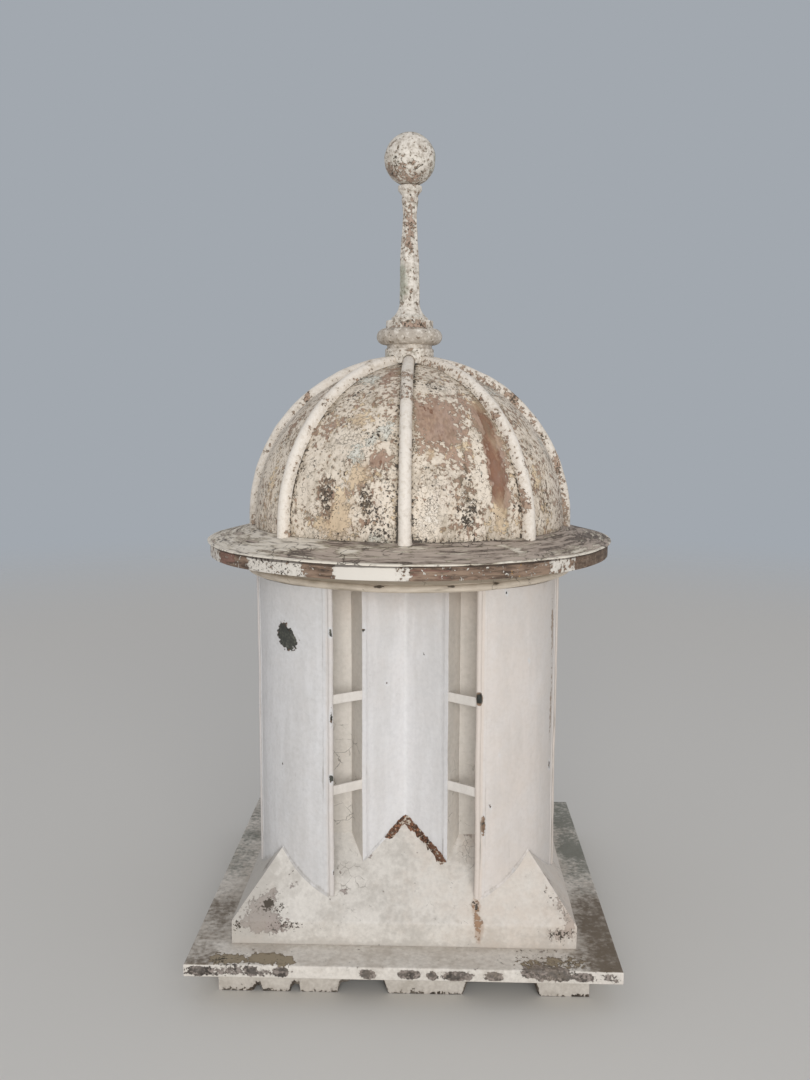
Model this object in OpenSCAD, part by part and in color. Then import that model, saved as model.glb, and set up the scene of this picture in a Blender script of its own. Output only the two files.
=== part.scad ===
// Fixed roof ventilator of the induced-draught kind: a domed cap on curved sheet
// baffles, over a hipped plinth, a square base flange and a skirt.
// Millimetres, Z up. The origin is at the foot of the skirt, on the centre line.
// The front is towards -Y; sides and corners are numbered anticlockwise from the front.

/* [Sheet] */
// Thickness of the sheet metal
sheet_t = 2; // [1.5:0.5:3]
// Clearance between curved pieces that are soldered together
fit = 0.3; // [0.2:0.1:0.5]

/* [Base] */
// Distance by which the base flange stands out beyond the plinth
base_ledge = 57; // [40:1:90]
// Thickness of the base flange
base_t = 19; // [12:1:30]
// Distance by which the base flange reaches inwards under the plinth
base_lap = 13; // [6:1:50]
// Distance by which the skirt stands out beyond the plinth
skirt_out = 17; // [0:1:36]
// Height of the skirt below the base flange
skirt_h = 43; // [30:1:80]

/* [Corrosion of the front skirt] */
// Start of each rusted-out notch, from the left end of the front skirt
notch_start = [49, 103, 171, 350];
// Width of each notch
notch_width = [14, 15, 73, 111];
// Height of each notch above the floor
notch_height = [9, 13, 26, 35];

/* [Plinth] */
// Distance by which the foot of the plinth stands out beyond the wired edges of the baffles
plinth_out = 23; // [8:1:40]
// Height of the upright band of the plinth
band_h = 35; // [20:1:60]
// Slope of the hipped plinth above the band, in degrees
slope_deg = 52; // [40:1:60]
// Width of the square throat at the top of the plinth
throat_w = 262; // [160:2:290]

/* [Baffles] */
// Height from the base flange to the underside of the chamber lid
body_h = 518; // [420:2:640]
// Distance across opposite corner baffles, between their wired edges
corner_across = 450; // [430:2:480]
// Clear width between the wired edges of two corner baffles on one side
corner_gap_w = 211; // [190:1:240]
// Radius of the curved corner baffles, to the middle of the sheet
corner_r = 170; // [140:5:260]
// Diameter of the wired edges of the corner baffles
bead_d = 8; // [5:0.5:12]
// Width of each slot, from the wired edge of a corner baffle to the edge of the vee baffle
slot_w = 43; // [34:1:52]
// Distance by which the edges of the vee baffle stand back from the wired edges
vee_back = 30; // [20:1:44]
// Depth of the fold of the vee baffle
vee_depth = 41; // [20:1:60]
// Distance by which the inner baffles stand back from the edges of the vee baffle
inner_back = 26; // [16:1:34]
// Sideways run of the return that joins an inner baffle to the edge of the vee baffle
return_w = 17.5; // [10:0.5:30]
// Width of the flat leaf of an inner baffle, behind the corner baffle
inner_leaf_w = 52; // [30:1:56]

/* [Slot braces] */
// Height of the middle of each brace above the base flange
brace_heights = [222, 356];
// Height of a brace
brace_h = 14; // [8:1:24]
// Thickness of a brace
brace_t = 3; // [2:0.5:6]

/* [Neck and brim] */
// Distance by which the neck stands out beyond the wired edges
neck_out = 4.5; // [2:0.5:20]
// Width of the solid neck moulding
neck_w = 17; // [12:1:30]
// Height from the chamber lid to the brim soffit
neck_h = 26; // [20:1:40]
// Height of the half-round bead at the foot of the neck
neck_bead_h = 10.5; // [6:0.5:14]
// Radius of the hollow cove above the bead
neck_cove_r = 11; // [6:0.5:15]
// Width of the soffit, from the neck to the fascia
soffit_w = 62; // [50:1:90]
// Distance by which the lip of the brim stands out beyond the fascia
lip_out = 5; // [2:0.5:20]
// Height from the brim soffit to the top of the lip
brim_edge_h = 22.5; // [16:0.5:40]
// Fall of the brim outwards, in degrees
brim_deg = 14; // [6:1:24]

/* [Dome] */
// Outer radius of the dome
dome_r = 245; // [225:1:270]
// Height of the upright part of the dome below its curve
stilt_h = 8.5; // [0:0.5:40]
// Number of gores, and of rolls over their seams
gore_count = 8; // [6:1:10]
// Width of a roll
roll_w = 19; // [12:1:24]
// Height of a roll above the dome
roll_h = 14; // [10:1:20]

/* [Finial] */
// Radius of the collar that caps the rolls
collar_r = 38.5; // [34:0.5:48]
// Height of the collar
collar_h = 25; // [22:1:40]
// Wall of the collar
collar_t = 3; // [2:0.5:5]
// Outer radius of the large ring
ring_r = 51.5; // [46:0.5:60]
// Radius of the rounding of the large ring
ring_round = 12.5; // [8:0.5:15]
// Height of the tapered stem, from the step over the ring to the neck disc
stem_h = 198; // [120:1:260]
// Radius at the foot of the stem
stem_foot_r = 17; // [14:0.5:24]
// Radius at the head of the stem
stem_head_r = 11.4; // [8:0.2:14]
// Radius of the small disc under the ball
disc_r = 19; // [14:0.5:26]
// Radius of the ball
ball_r = 40; // [30:0.5:55]

/* [Hidden] */
$fn = 96;
SIDES = ["front", "right", "back", "left"];
CORNERS = ["front_right", "back_right", "back_left", "front_left"];

// Plan of the corner baffles: an arc whose centre is on the diagonal
edge_x = corner_gap_w / 2;
edge_y = corner_across / 2;
half_chord = (edge_y - edge_x) / sqrt(2);
arc_centre = (edge_x + edge_y) / 2 - sqrt(corner_r * corner_r - half_chord * half_chord) / sqrt(2);

// Plan of the vee baffles and the inner baffles
vee_x = edge_x - slot_w;
vee_y = edge_y - vee_back;
valley_y = vee_y - vee_depth;
inner_y = vee_y - inner_back;
inner_x = vee_x + return_w;

// Plan of the base, outwards from the baffles
plinth_w = corner_across + 2 * plinth_out;
base_w = plinth_w + 2 * base_ledge;
base_open_w = plinth_w - 2 * base_lap;
skirt_w = plinth_w + 2 * skirt_out;

// Radii of the neck and brim, outwards from the baffles
neck_r = norm([edge_x, edge_y]) + neck_out;
neck_inner_r = neck_r - neck_w;
neck_bead_r = neck_bead_h / 2;
fascia_r = neck_r + soffit_w;
lip_r = fascia_r + lip_out;

// Heights of the construction, from the floor upwards
base_top = skirt_h + base_t;
knee_z = base_top + band_h;
lid_z = base_top + body_h;
soffit_z = lid_z + neck_h;
lip_z = soffit_z + brim_edge_h;
dome_z = brim_z(dome_r - sheet_t) + fit;
curve_z = dome_z + stilt_h;
collar_z = dome_surface_z(collar_r - collar_t) + fit;
undercut_z = collar_z + collar_h;
undercut_h = 6;
ring_z = undercut_z + undercut_h;
step_z = ring_z + 2 * ring_round;
step_h = 12;
flare_h = 27;
stem_z = step_z + step_h;
disc_z = stem_z + stem_h;
disc_h = 6;
seat_r = 11;
seat_h = 2;
ball_foot_z = disc_z + disc_h + seat_h;
ball_z = ball_foot_z + sqrt(ball_r * ball_r - seat_r * seat_r);

gore_deg = 360 / gore_count;
gore_top_r = collar_r - 3 * collar_t;
reach = 2 * base_w;

// Height of the top of the brim at a radius
function brim_z(r) = lip_z + (lip_r - r) * tan(brim_deg);

// Height of the outside of the dome at a radius
function dome_surface_z(r) = curve_z + sqrt(dome_r * dome_r - r * r);

// Height of the outside of the plinth slope at a distance from the centre line
function slope_z(d) = knee_z + (plinth_w / 2 - d) * tan(slope_deg);

// Everything above the slope of the front of the plinth
module above_slope() {
    translate([0, -plinth_w / 2, knee_z]) rotate([slope_deg, 0, 0])
        translate([-reach, -reach, 0]) cube([2 * reach, 2 * reach, reach]);
}

// Everything outside the plinth slopes of the front and the right side
module above_corner_slopes() {
    above_slope();
    rotate([0, 0, 90]) above_slope();
}

// Skirt: one folded strip, rusted through along the front
module skirt() {
    color("#cfc8bf") difference() {
        translate([-skirt_w / 2, -skirt_w / 2, 0]) cube([skirt_w, skirt_w, skirt_h]);
        translate([sheet_t - skirt_w / 2, sheet_t - skirt_w / 2, -1])
            cube([skirt_w - 2 * sheet_t, skirt_w - 2 * sheet_t, skirt_h + 2]);
        for (i = [0:len(notch_start) - 1])
            translate([notch_start[i] - skirt_w / 2, -skirt_w / 2 - 1, 0])
                rotate([90, 0, 0]) mirror([0, 0, 1]) linear_extrude(sheet_t + 2)
                    notch_outline(notch_width[i], notch_height[i]);
    }
}

// Outline of a rusted-out notch, with an uneven head
module notch_outline(w, h) {
    polygon([[0, -1], [0.06 * w, 0.55 * h], [0.22 * w, 0.7 * h], [0.4 * w, h],
             [0.68 * w, 0.85 * h], [0.86 * w, 0.95 * h], [0.95 * w, 0.4 * h], [w, -1]]);
}

// Base flange: a square board frame under the plinth
module base_flange() {
    color("#b4ada1") difference() {
        translate([-base_w / 2, -base_w / 2, skirt_h]) cube([base_w, base_w, base_t]);
        translate([-base_open_w / 2, -base_open_w / 2, skirt_h - 1])
            cube([base_open_w, base_open_w, base_t + 2]);
    }
}

// One side of the plinth: an upright band, then a slope up to the throat, mitred at the hips
module plinth_side() {
    half = plinth_w / 2;
    throat = throat_w / 2;
    drop = sheet_t / cos(slope_deg);
    color("#cfc8bf") intersection() {
        rotate([90, 0, 90]) translate([0, 0, -half]) linear_extrude(plinth_w)
            polygon([[-half, base_top], [-half, knee_z], [-throat, slope_z(throat)],
                     [-throat, slope_z(throat) - drop], [sheet_t - half, slope_z(half - sheet_t) - drop],
                     [sheet_t - half, base_top]]);
        linear_extrude(lid_z) polygon([[0, 0], [reach, -reach], [-reach, -reach]]);
    }
}

// Plan of the front right corner baffle: an arc of sheet with a wired edge at each end
module corner_plan() {
    centre = [arc_centre, -arc_centre];
    ends = [[edge_x, -edge_y], [edge_y, -edge_x]];
    intersection() {
        difference() {
            translate(centre) circle(corner_r + sheet_t / 2);
            translate(centre) circle(corner_r - sheet_t / 2);
        }
        polygon([centre, for (p = ends) centre + 2 * (p - centre)]);
    }
    for (p = ends) translate(p) circle(d = bead_d);
}

// Corner baffle at the front right, cut to the slopes of the plinth
module corner_baffle() {
    color("#cbcaca") intersection() {
        translate([0, 0, base_top]) linear_extrude(lid_z - base_top) corner_plan();
        above_corner_slopes();
    }
}

// Vee baffle of the front: two flat leaves that fold inwards to a valley
module vee_baffle() {
    back = sheet_t * norm([vee_x, vee_depth]) / vee_x;
    color("#d7d5d5") intersection() {
        translate([0, 0, base_top]) linear_extrude(lid_z - base_top)
            polygon([[-vee_x, -vee_y], [0, -valley_y], [vee_x, -vee_y],
                     [vee_x, back - vee_y], [0, back - valley_y], [-vee_x, back - vee_y]]);
        above_slope();
    }
}

// Inner baffles of the front: on each hand a return from the edge of the vee baffle,
// then a flat leaf that ends behind the corner baffle and leaves the corner open
module inner_baffles() {
    back = sheet_t * norm([return_w, inner_back]) / return_w;
    turn_in = (inner_back - back + sheet_t) * return_w / inner_back;
    color("#c9c1b7") intersection() {
        for (hand = [0, 1]) mirror([hand, 0, 0])
            translate([0, 0, base_top]) linear_extrude(lid_z - base_top)
                polygon([[vee_x, -vee_y], [inner_x, -inner_y], [inner_x + inner_leaf_w, -inner_y],
                         [inner_x + inner_leaf_w, sheet_t - inner_y],
                         [vee_x + turn_in, sheet_t - inner_y], [vee_x, back - vee_y]]);
        above_slope();
    }
}

// Braces of the front: two in each slot, from the wired edge to the edge of the vee baffle
module slot_braces() {
    run = norm([slot_w, vee_back]);
    turn = atan2(-vee_back, slot_w);
    color("#d3cbc3") for (hand = [0, 1], h = brace_heights) mirror([hand, 0, 0])
        translate([vee_x, -vee_y, base_top + h - brace_h / 2]) rotate([0, 0, turn])
            translate([fit, 0, 0]) cube([run - bead_d / 2 - 2 * fit, brace_t, brace_h]);
}

// Lid of the chamber: a disc inside the neck moulding
module chamber_lid() {
    color("#b5ada3") translate([0, 0, lid_z]) cylinder(r = neck_inner_r - fit, h = sheet_t);
}

// Neck: a half-round bead, an upright fillet and a hollow cove up to the soffit
module neck_ring() {
    color("#cdc3b4") translate([0, 0, lid_z]) rotate_extrude() {
        translate([neck_inner_r, 0]) square([neck_w, neck_h]);
        intersection() {
            translate([neck_r, neck_bead_r]) circle(neck_bead_r);
            translate([neck_r - 1, 0]) square([neck_bead_h, neck_bead_h]);
        }
        difference() {
            translate([neck_r - 1, neck_h - neck_cove_r]) square([neck_cove_r + 1, neck_cove_r]);
            translate([neck_r + neck_cove_r, neck_h - neck_cove_r]) circle(neck_cove_r);
        }
    }
}

// Soffit: a flat ring from the neck out to the fascia
module soffit() {
    color("#e4ded3") translate([0, 0, soffit_z]) difference() {
        cylinder(r = fascia_r - sheet_t - fit, h = sheet_t);
        translate([0, 0, -1]) cylinder(r = neck_inner_r, h = sheet_t + 2);
    }
}

// Fascia: an upright band from the soffit to the underside of the brim
module fascia() {
    head = brim_z(fascia_r) - sheet_t / cos(brim_deg) - fit;
    color("#e4ded3") rotate_extrude()
        polygon([[fascia_r - sheet_t, soffit_z], [fascia_r, soffit_z], [fascia_r, head],
                 [fascia_r - sheet_t, head + sheet_t * tan(brim_deg)]]);
}

// Brim: a shallow cone that falls from the dome to a thin lip
module brim() {
    seat = dome_r - roll_w;
    drop = sheet_t / cos(brim_deg);
    color("#9b8d82") rotate_extrude()
        polygon([[seat, brim_z(seat)], [lip_r, lip_z], [lip_r, lip_z - drop], [seat, brim_z(seat) - drop]]);
}

// One gore of the dome: a short upright stilt, then a quarter circle
module dome_gore() {
    color("#c8b59d") rotate([0, 0, -90]) rotate_extrude(angle = gore_deg) intersection() {
        union() {
            translate([dome_r - sheet_t, dome_z]) square([sheet_t, stilt_h]);
            translate([0, curve_z]) difference() {
                circle(dome_r);
                circle(dome_r - sheet_t);
                translate([-reach, -reach]) square([2 * reach, reach]);
            }
        }
        translate([gore_top_r, dome_z]) square(reach);
    }
}

// Section of a roll: upright sides and a half-round top
module roll_section() {
    half = roll_w / 2;
    translate([fit, -half]) square([roll_h - half - fit, roll_w]);
    intersection() {
        translate([roll_h - half, 0]) circle(half);
        translate([roll_h - half - 1, -half]) square([half + 1, roll_w]);
    }
}

// Roll over the front seam of the dome, dressed down onto the brim
module dome_roll() {
    end_deg = acos(gore_top_r / dome_r);
    foot_z = brim_z(dome_r + roll_h) - 2;
    color("#dfd2c2") rotate([0, 0, -90]) difference() {
        union() {
            translate([dome_r, 0, foot_z]) linear_extrude(curve_z - foot_z) roll_section();
            translate([0, 0, curve_z]) rotate([90, 0, 0]) rotate_extrude(angle = end_deg)
                translate([dome_r, 0]) roll_section();
        }
        rotate_extrude() polygon([[0, 0], [lip_r, 0], [lip_r, lip_z + fit],
                                  [dome_r / 2, brim_z(dome_r / 2) + fit], [0, brim_z(dome_r / 2) + fit]]);
    }
}

// Collar of the finial: a shallow cup, arched over each roll
module finial_collar() {
    arch_r = roll_w / 2 + 2 * fit;
    arch_z = curve_z + sqrt(pow(dome_r + roll_h, 2) - pow(collar_r - collar_t, 2)) + fit - arch_r;
    color("#d1c2b0") difference() {
        translate([0, 0, collar_z]) cylinder(r = collar_r, h = collar_h);
        translate([0, 0, collar_z - 1]) cylinder(r = collar_r - collar_t, h = collar_h - collar_t + 1);
        for (i = [0:gore_count - 1]) rotate([0, 0, i * gore_deg - 90]) {
            translate([0, 0, arch_z]) rotate([0, 90, 0]) cylinder(r = arch_r, h = 2 * collar_r);
            translate([0, -arch_r, collar_z - 1]) cube([2 * collar_r, 2 * arch_r, arch_z - collar_z + 1]);
        }
    }
}

// Spindle of the finial: undercut, large ring, step, flared foot, tapered stem, neck and disc
module finial_spindle() {
    flare_z = stem_z + flare_h;
    neck_z = disc_z - 38;
    color("#b2a69a") rotate_extrude() {
        translate([0, undercut_z]) square([collar_r - collar_t, undercut_h + ring_round]);
        translate([0, ring_z]) square([ring_r - ring_round, 2 * ring_round]);
        translate([ring_r - ring_round, ring_z + ring_round]) circle(ring_round);
        translate([0, step_z]) square([0.72 * ring_r, step_h]);
        difference() {
            translate([0, stem_z]) square([stem_foot_r + 12, flare_h]);
            translate([stem_foot_r + flare_h, stem_z + flare_h]) circle(flare_h);
        }
        polygon([[0, stem_z], [stem_foot_r, stem_z], [stem_foot_r, flare_z],
                 [stem_foot_r - 1.2, (flare_z + neck_z) / 2], [stem_head_r, neck_z],
                 [stem_head_r + 2, disc_z - 14], [stem_head_r + 1, disc_z - 8], [disc_r, disc_z],
                 [disc_r, disc_z + disc_h], [seat_r, ball_foot_z], [0, ball_foot_z]]);
    }
}

// Ball of the finial, seated on the small disc
module finial_ball() {
    color("#bfb4a9") intersection() {
        translate([0, 0, ball_z]) sphere(ball_r);
        translate([0, 0, ball_foot_z]) cylinder(r = 2 * ball_r, h = 3 * ball_r);
    }
}

skirt();
base_flange();
for (i = [0:3]) {
    turned = [0, 0, 90 * i];
    rotate(turned) plinth_side();
    rotate(turned) corner_baffle();
    rotate(turned) vee_baffle();
    rotate(turned) inner_baffles();
    rotate(turned) slot_braces();
}
chamber_lid();
neck_ring();
soffit();
fascia();
brim();
for (i = [1:gore_count]) {
    turned = [0, 0, (i - 1) * gore_deg];
    rotate(turned) dome_gore();
    rotate(turned) dome_roll();
}
finial_collar();
finial_spindle();
finial_ball();
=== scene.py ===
# %% [markdown]
# # A domed roof ventilator in weathered oil paint
# The construction of this ventilator is already packed as exact solids: skirt, flange, plinth,
# baffles, brim, dome and finial. This lesson dresses it. Each piece is remade as hand-worked
# sheet metal, and each finish is built from the coats of paint that the years have uncovered.
# Every length is in metres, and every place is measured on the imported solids. An outline that
# should reach the centre line stops a thousandth of a millimetre short of it, so that it can be
# turned; the skin then joins those points into one.

import math
import random
import bmesh
import bpy
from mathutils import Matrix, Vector, noise


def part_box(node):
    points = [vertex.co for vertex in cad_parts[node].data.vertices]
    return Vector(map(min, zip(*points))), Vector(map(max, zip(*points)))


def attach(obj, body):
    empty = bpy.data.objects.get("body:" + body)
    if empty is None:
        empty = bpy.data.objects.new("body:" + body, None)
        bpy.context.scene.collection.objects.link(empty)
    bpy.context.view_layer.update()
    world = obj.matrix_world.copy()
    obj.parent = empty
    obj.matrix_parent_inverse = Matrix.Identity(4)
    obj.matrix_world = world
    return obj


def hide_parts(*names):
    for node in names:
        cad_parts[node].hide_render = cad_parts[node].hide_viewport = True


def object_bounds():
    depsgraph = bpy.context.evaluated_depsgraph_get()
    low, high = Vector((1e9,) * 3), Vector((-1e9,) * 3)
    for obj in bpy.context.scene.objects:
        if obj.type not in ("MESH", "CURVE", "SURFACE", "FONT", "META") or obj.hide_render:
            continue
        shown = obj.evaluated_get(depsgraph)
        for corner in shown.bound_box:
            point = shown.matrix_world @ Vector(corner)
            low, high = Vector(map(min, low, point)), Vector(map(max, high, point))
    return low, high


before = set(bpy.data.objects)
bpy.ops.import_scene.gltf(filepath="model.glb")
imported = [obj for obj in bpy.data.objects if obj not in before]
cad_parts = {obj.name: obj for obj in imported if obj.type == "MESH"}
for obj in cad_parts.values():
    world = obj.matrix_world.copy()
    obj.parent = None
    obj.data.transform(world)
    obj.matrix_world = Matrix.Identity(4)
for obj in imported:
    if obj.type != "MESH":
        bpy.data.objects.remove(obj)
cad_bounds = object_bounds()
MM = 0.001
NEAR_AXIS = 0.001 * MM
print("construction box in metres:", [tuple(round(c, 4) for c in corner) for corner in cad_bounds])

# %% [markdown]
# ## The camera
# A phone camera has a short lens, so verticals lean a little when it is tipped down. The camera
# stands about one and a half metres in front of the ventilator, slightly to its right, and looks
# a little downwards. It comes first, because every later choice is judged through it.

# %% Camera
lens_data = bpy.data.cameras.new("camera")
lens_data.lens = 33.4
lens_data.sensor_width = 36.0
camera = bpy.data.objects.new("camera", lens_data)
camera.location = (0.0408, -1.6055, 0.824)
camera.rotation_euler = (math.radians(90 - 7.22), math.radians(-0.13), math.radians(1.70))
bpy.context.scene.collection.objects.link(camera)
bpy.context.scene.camera = camera
bpy.context.scene.view_settings.view_transform = "Standard"
print("camera lens in millimetres:", lens_data.lens)

# %% [markdown]
# ## Measuring the construction
# A dressed piece has to sit exactly where its solid is. Rather than writing sizes down twice, this
# cell reads them from the solids: the slope of the plinth, the plan of the baffles, the gauge of
# the sheet and the circle of the dome. A size is picked from a mesh by asking for its highest,
# lowest or outermost point.

# %% Measure the base and the baffles
def points_of(node_name):
    """The corner points of a solid's mesh."""
    return [vertex.co.copy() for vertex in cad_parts[node_name].data.vertices]


def reach_of(point):
    """Distance of a point from the centre line."""
    return math.hypot(point.x, point.y)


HAIR = 0.02 * MM
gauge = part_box("soffit")[1].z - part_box("soffit")[0].z
skirt_low, skirt_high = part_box("skirt")
flange_low, flange_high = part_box("base_flange")

plinth_points = points_of("plinth_front")
plinth_half = max(p.x for p in plinth_points)
plinth_top = max(p.z for p in plinth_points)
knee_z = max(p.z for p in plinth_points if p.y < HAIR - plinth_half)
throat_half = min(-p.y for p in plinth_points if p.z > plinth_top - HAIR)
slope_tan = (plinth_top - knee_z) / (plinth_half - throat_half)

WIRE_R = 4 * MM
corner_low, corner_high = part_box("corner_baffle_front_right")
lid_z = corner_high.z
edge_x, edge_y = corner_low.x + WIRE_R, -corner_low.y - WIRE_R
half_chord = (edge_y - edge_x) / math.sqrt(2)
crown = max((p.x - p.y) / math.sqrt(2) for p in points_of("corner_baffle_front_right")) - gauge / 2
rise = crown - (edge_x + edge_y) / math.sqrt(2)
corner_r = (half_chord ** 2 + rise ** 2) / (2 * rise)
arc_centre = (crown - corner_r) / math.sqrt(2)
arc_half = math.asin(half_chord / corner_r)

vee_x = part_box("vee_baffle_front")[1].x
vee_y = -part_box("vee_baffle_front")[0].y
valley_y = -min(p.y for p in points_of("vee_baffle_front") if abs(p.x) < HAIR)
leaf_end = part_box("inner_baffles_front")[1].x
leaf_points = [p for p in points_of("inner_baffles_front") if p.x > 0]
leaf_y = -min(p.y for p in leaf_points if p.x > leaf_end - HAIR)
leaf_x = min(p.x for p in leaf_points if abs(p.y + leaf_y) < HAIR)
brace_levels = sorted({round(p.z, 4) for p in points_of("slot_braces")})
print("gauge", round(gauge / MM, 2), "mm; slope", round(math.degrees(math.atan(slope_tan)), 1),
      "degrees; corner sheet radius", round(corner_r / MM, 1), "mm; braces at", brace_levels)

# %% [markdown]
# The cap of the ventilator is turned work: neck, soffit, fascia, brim, dome and finial are all
# round. The section of a turned solid can be read straight from its mesh, along the edges that lie
# in one plane through the centre line. A mesh made from that section lines up with its solid.

# %% Measure the cap
def turned_section(node_name):
    """The section of a turned solid, as (radius, height) points in order round the outline."""
    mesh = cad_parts[node_name].data
    on_plane = {v.index for v in mesh.vertices
                if abs(v.co.y) < 2 * NEAR_AXIS and v.co.x > -NEAR_AXIS}
    links = {}
    for edge in mesh.edges:
        if edge.vertices[0] in on_plane and edge.vertices[1] in on_plane:
            ends = [(round(reach_of(mesh.vertices[i].co), 5), round(mesh.vertices[i].co.z, 5))
                    for i in edge.vertices]
            if ends[0] != ends[1]:
                links.setdefault(ends[0], set()).add(ends[1])
                links.setdefault(ends[1], set()).add(ends[0])
    loose_ends = sorted((point for point in links if len(links[point]) == 1), key=lambda p: p[1])
    chain = [loose_ends[0] if loose_ends else min(links)]
    while True:
        ahead = [point for point in links[chain[-1]] if point not in chain]
        if not ahead:
            return chain
        chain.append(min(ahead))


dome_r = -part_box("dome_gore_1")[0].y
dome_foot_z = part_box("dome_gore_1")[0].z
gore_points = points_of("dome_gore_1")
curve_z = max(p.z for p in gore_points if reach_of(p) > dome_r - HAIR)
gore_top_r = min(reach_of(p) for p in gore_points)
roll_reach = -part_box("dome_roll_1")[0].y
roll_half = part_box("dome_roll_1")[1].x
brim_points = points_of("brim")
lip_r = max(reach_of(p) for p in brim_points)
seat_r = min(reach_of(p) for p in brim_points)
lip_z = max(p.z for p in brim_points if reach_of(p) > lip_r - HAIR)
brim_tan = (max(p.z for p in brim_points) - lip_z) / (lip_r - seat_r)
collar_low, collar_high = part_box("finial_collar")
print("dome radius", round(dome_r / MM, 1), "mm; roll", round(2 * roll_half / MM, 1), "mm wide; brim",
      round(lip_r / MM, 1), "mm out")

# %% [markdown]
# ## Hand-worked sheet
# Nothing made by a tinsmith is dead straight. One smooth field of small vectors moves every point
# of every piece, so neighbours bend together and their joints stay shut. The field fades out near
# the faces of the construction box, so the overall size stays as built. Its seed is set first,
# because a field of vectors otherwise starts from the clock and differs each time.

# %% The slight unevenness of every sheet
noise.seed_set(7)
SWAY = ((1.3 * MM, 0.17), (0.45 * MM, 0.05))
CALM_BAND = 0.05


def sway(point):
    """A point moved by the slight unevenness that all the sheets share."""
    low, high = cad_bounds
    room = min(point.z - low.z, high.z - point.z, high.x - abs(point.x), high.y - abs(point.y))
    calm = min(1.0, max(0.0, room / CALM_BAND))
    move = sum((noise.noise_vector(point / span) * amount for amount, span in SWAY), Vector())
    return point + move * calm


print("unevenness:", [f"{a / MM:.2f} mm over {s / MM:.0f} mm" for a, s in SWAY])

# %% [markdown]
# A piece is a row of sections joined by quads. The same few lines make a folded sheet, a turned
# moulding or a swept roll, and only the sections differ. Corners of a section are eased by a small
# curve, because a folded or painted edge catches a thin line of light that a knife edge would miss.

# %% Skins from rows of sections
WELD = 0.004 * MM


def skin(name, bodies, looped=False, crease=35):
    """One piece from rows of closed sections: neighbours are joined by quads, open ends capped."""
    shell = bmesh.new()
    for rings in bodies:
        grid = [[shell.verts.new(sway(point)) for point in ring] for ring in rings]
        count = len(grid[0])
        pairs = list(zip(grid, grid[1:])) + ([(grid[-1], grid[0])] if looped else [])
        for near, far in pairs:
            for i in range(count):
                shell.faces.new((near[i], near[i - 1], far[i - 1], far[i]))
        for ring in () if looped else (grid[0], grid[-1]):
            for i in range(count // 2 - 1):
                shell.faces.new((ring[i], ring[i + 1], ring[-i - 2], ring[-i - 1]))
    bmesh.ops.remove_doubles(shell, verts=shell.verts, dist=WELD)
    bmesh.ops.recalc_face_normals(shell, faces=shell.faces)
    mesh = bpy.data.meshes.new(name)
    shell.to_mesh(mesh)
    shell.free()
    mesh.shade_smooth()
    mesh.set_sharp_from_angle(angle=math.radians(crease))
    piece = bpy.data.objects.new(name, mesh)
    bpy.context.scene.collection.objects.link(piece)
    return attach(piece, "root")


print("a skin joins sections and welds points closer than", WELD, "metres")

# %% [markdown]
# Sections need points. These helpers space values evenly, ease and divide an outline, and carry a
# point to another side of the ventilator, which is the same from all four. A place on the round
# cap is given by its azimuth in degrees, counted from the front towards the right.

# %% Outlines and turns
def steps(start, end, pitch):
    """Evenly spaced values from start to end, at most pitch apart."""
    count = max(1, math.ceil(abs(end - start) / pitch))
    return [start + (end - start) * i / count for i in range(count + 1)]


def eased(outline, radius):
    """A closed outline of (a, b) points with each corner turned into a small curve."""
    curve = []
    for i, (a, b) in enumerate(outline):
        corner = Vector((a, b))
        before = Vector(outline[i - 1]) - corner
        after = Vector(outline[(i + 1) % len(outline)]) - corner
        start = corner + before.normalized() * min(radius, before.length * 0.45)
        end = corner + after.normalized() * min(radius, after.length * 0.45)
        for t in (0, 0.25, 0.5, 0.75, 1):
            curve.append(tuple(start * (1 - t) ** 2 + corner * (2 * t * (1 - t)) + end * t ** 2))
    return curve


def refined(outline, pitch, closed=True):
    """An outline with its long stretches divided, so that dabs and unevenness have points."""
    fine = []
    ends = outline[1:] + (outline[:1] if closed else [])
    for start, end in zip(outline, ends):
        a, b = Vector(start), Vector(end)
        fine += [tuple(a.lerp(b, t)) for t in steps(0, 1, pitch / max(pitch, (b - a).length))[:-1]]
    return fine if closed else fine + [outline[-1]]


def turn(point, quarters):
    """A point turned about the centre line by quarter turns, from the front towards the right."""
    for _ in range(quarters % 4):
        point = Vector((-point.y, point.x, point.z))
    return point


def around(azimuth, radius, height):
    """A point at an azimuth in degrees, measured from the front towards the right."""
    angle = math.radians(azimuth)
    return Vector((radius * math.sin(angle), -radius * math.cos(angle), height))


def azimuth_of(point):
    """The azimuth of a point in degrees, measured from the front towards the right."""
    return math.degrees(math.atan2(point.x, -point.y))


SIDES = ("front", "right", "back", "left")
CORNERS = ("front_right", "back_right", "back_left", "front_left")
square = [(0, 0), (1, 0), (1, 1), (0, 1)]
print("an eased square has", len(eased(square, 0.1)), "points")

# %% [markdown]
# ## Where the weather got in
# Paint is lost in places that mean something: at seams, along edges, under drips. Those places are
# stored on the mesh as soft weights, the way one would paint weights by hand. A finish later adds
# fine noise to a weight and cuts it with a hard threshold, so a soft dab becomes a ragged chip.
# Each dab is a centre, a reach across, a reach up, and a strength. A spread is a formula for a
# weight at any place, for wear that follows an edge.

# %% Dabs of wear
FARTHEST = 9  # past three times its reach a dab adds nothing


def dab(piece, layer, dabs=(), spread=None):
    """Store a layer of soft weights on a piece, from dabs and from a spread over all of it."""
    weights = []
    for vertex in piece.data.vertices:
        weight = spread(vertex.co) if spread else 0.0
        for centre, across, up, strength in dabs:
            away = vertex.co - centre
            near = (away.x ** 2 + away.y ** 2) / across ** 2 + (away.z / up) ** 2
            if near < FARTHEST:
                weight += strength * math.exp(-near)
        weights.append(weight)
    piece.data.attributes.new(layer, "FLOAT", "POINT").data.foreach_set("value", weights)


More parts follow.
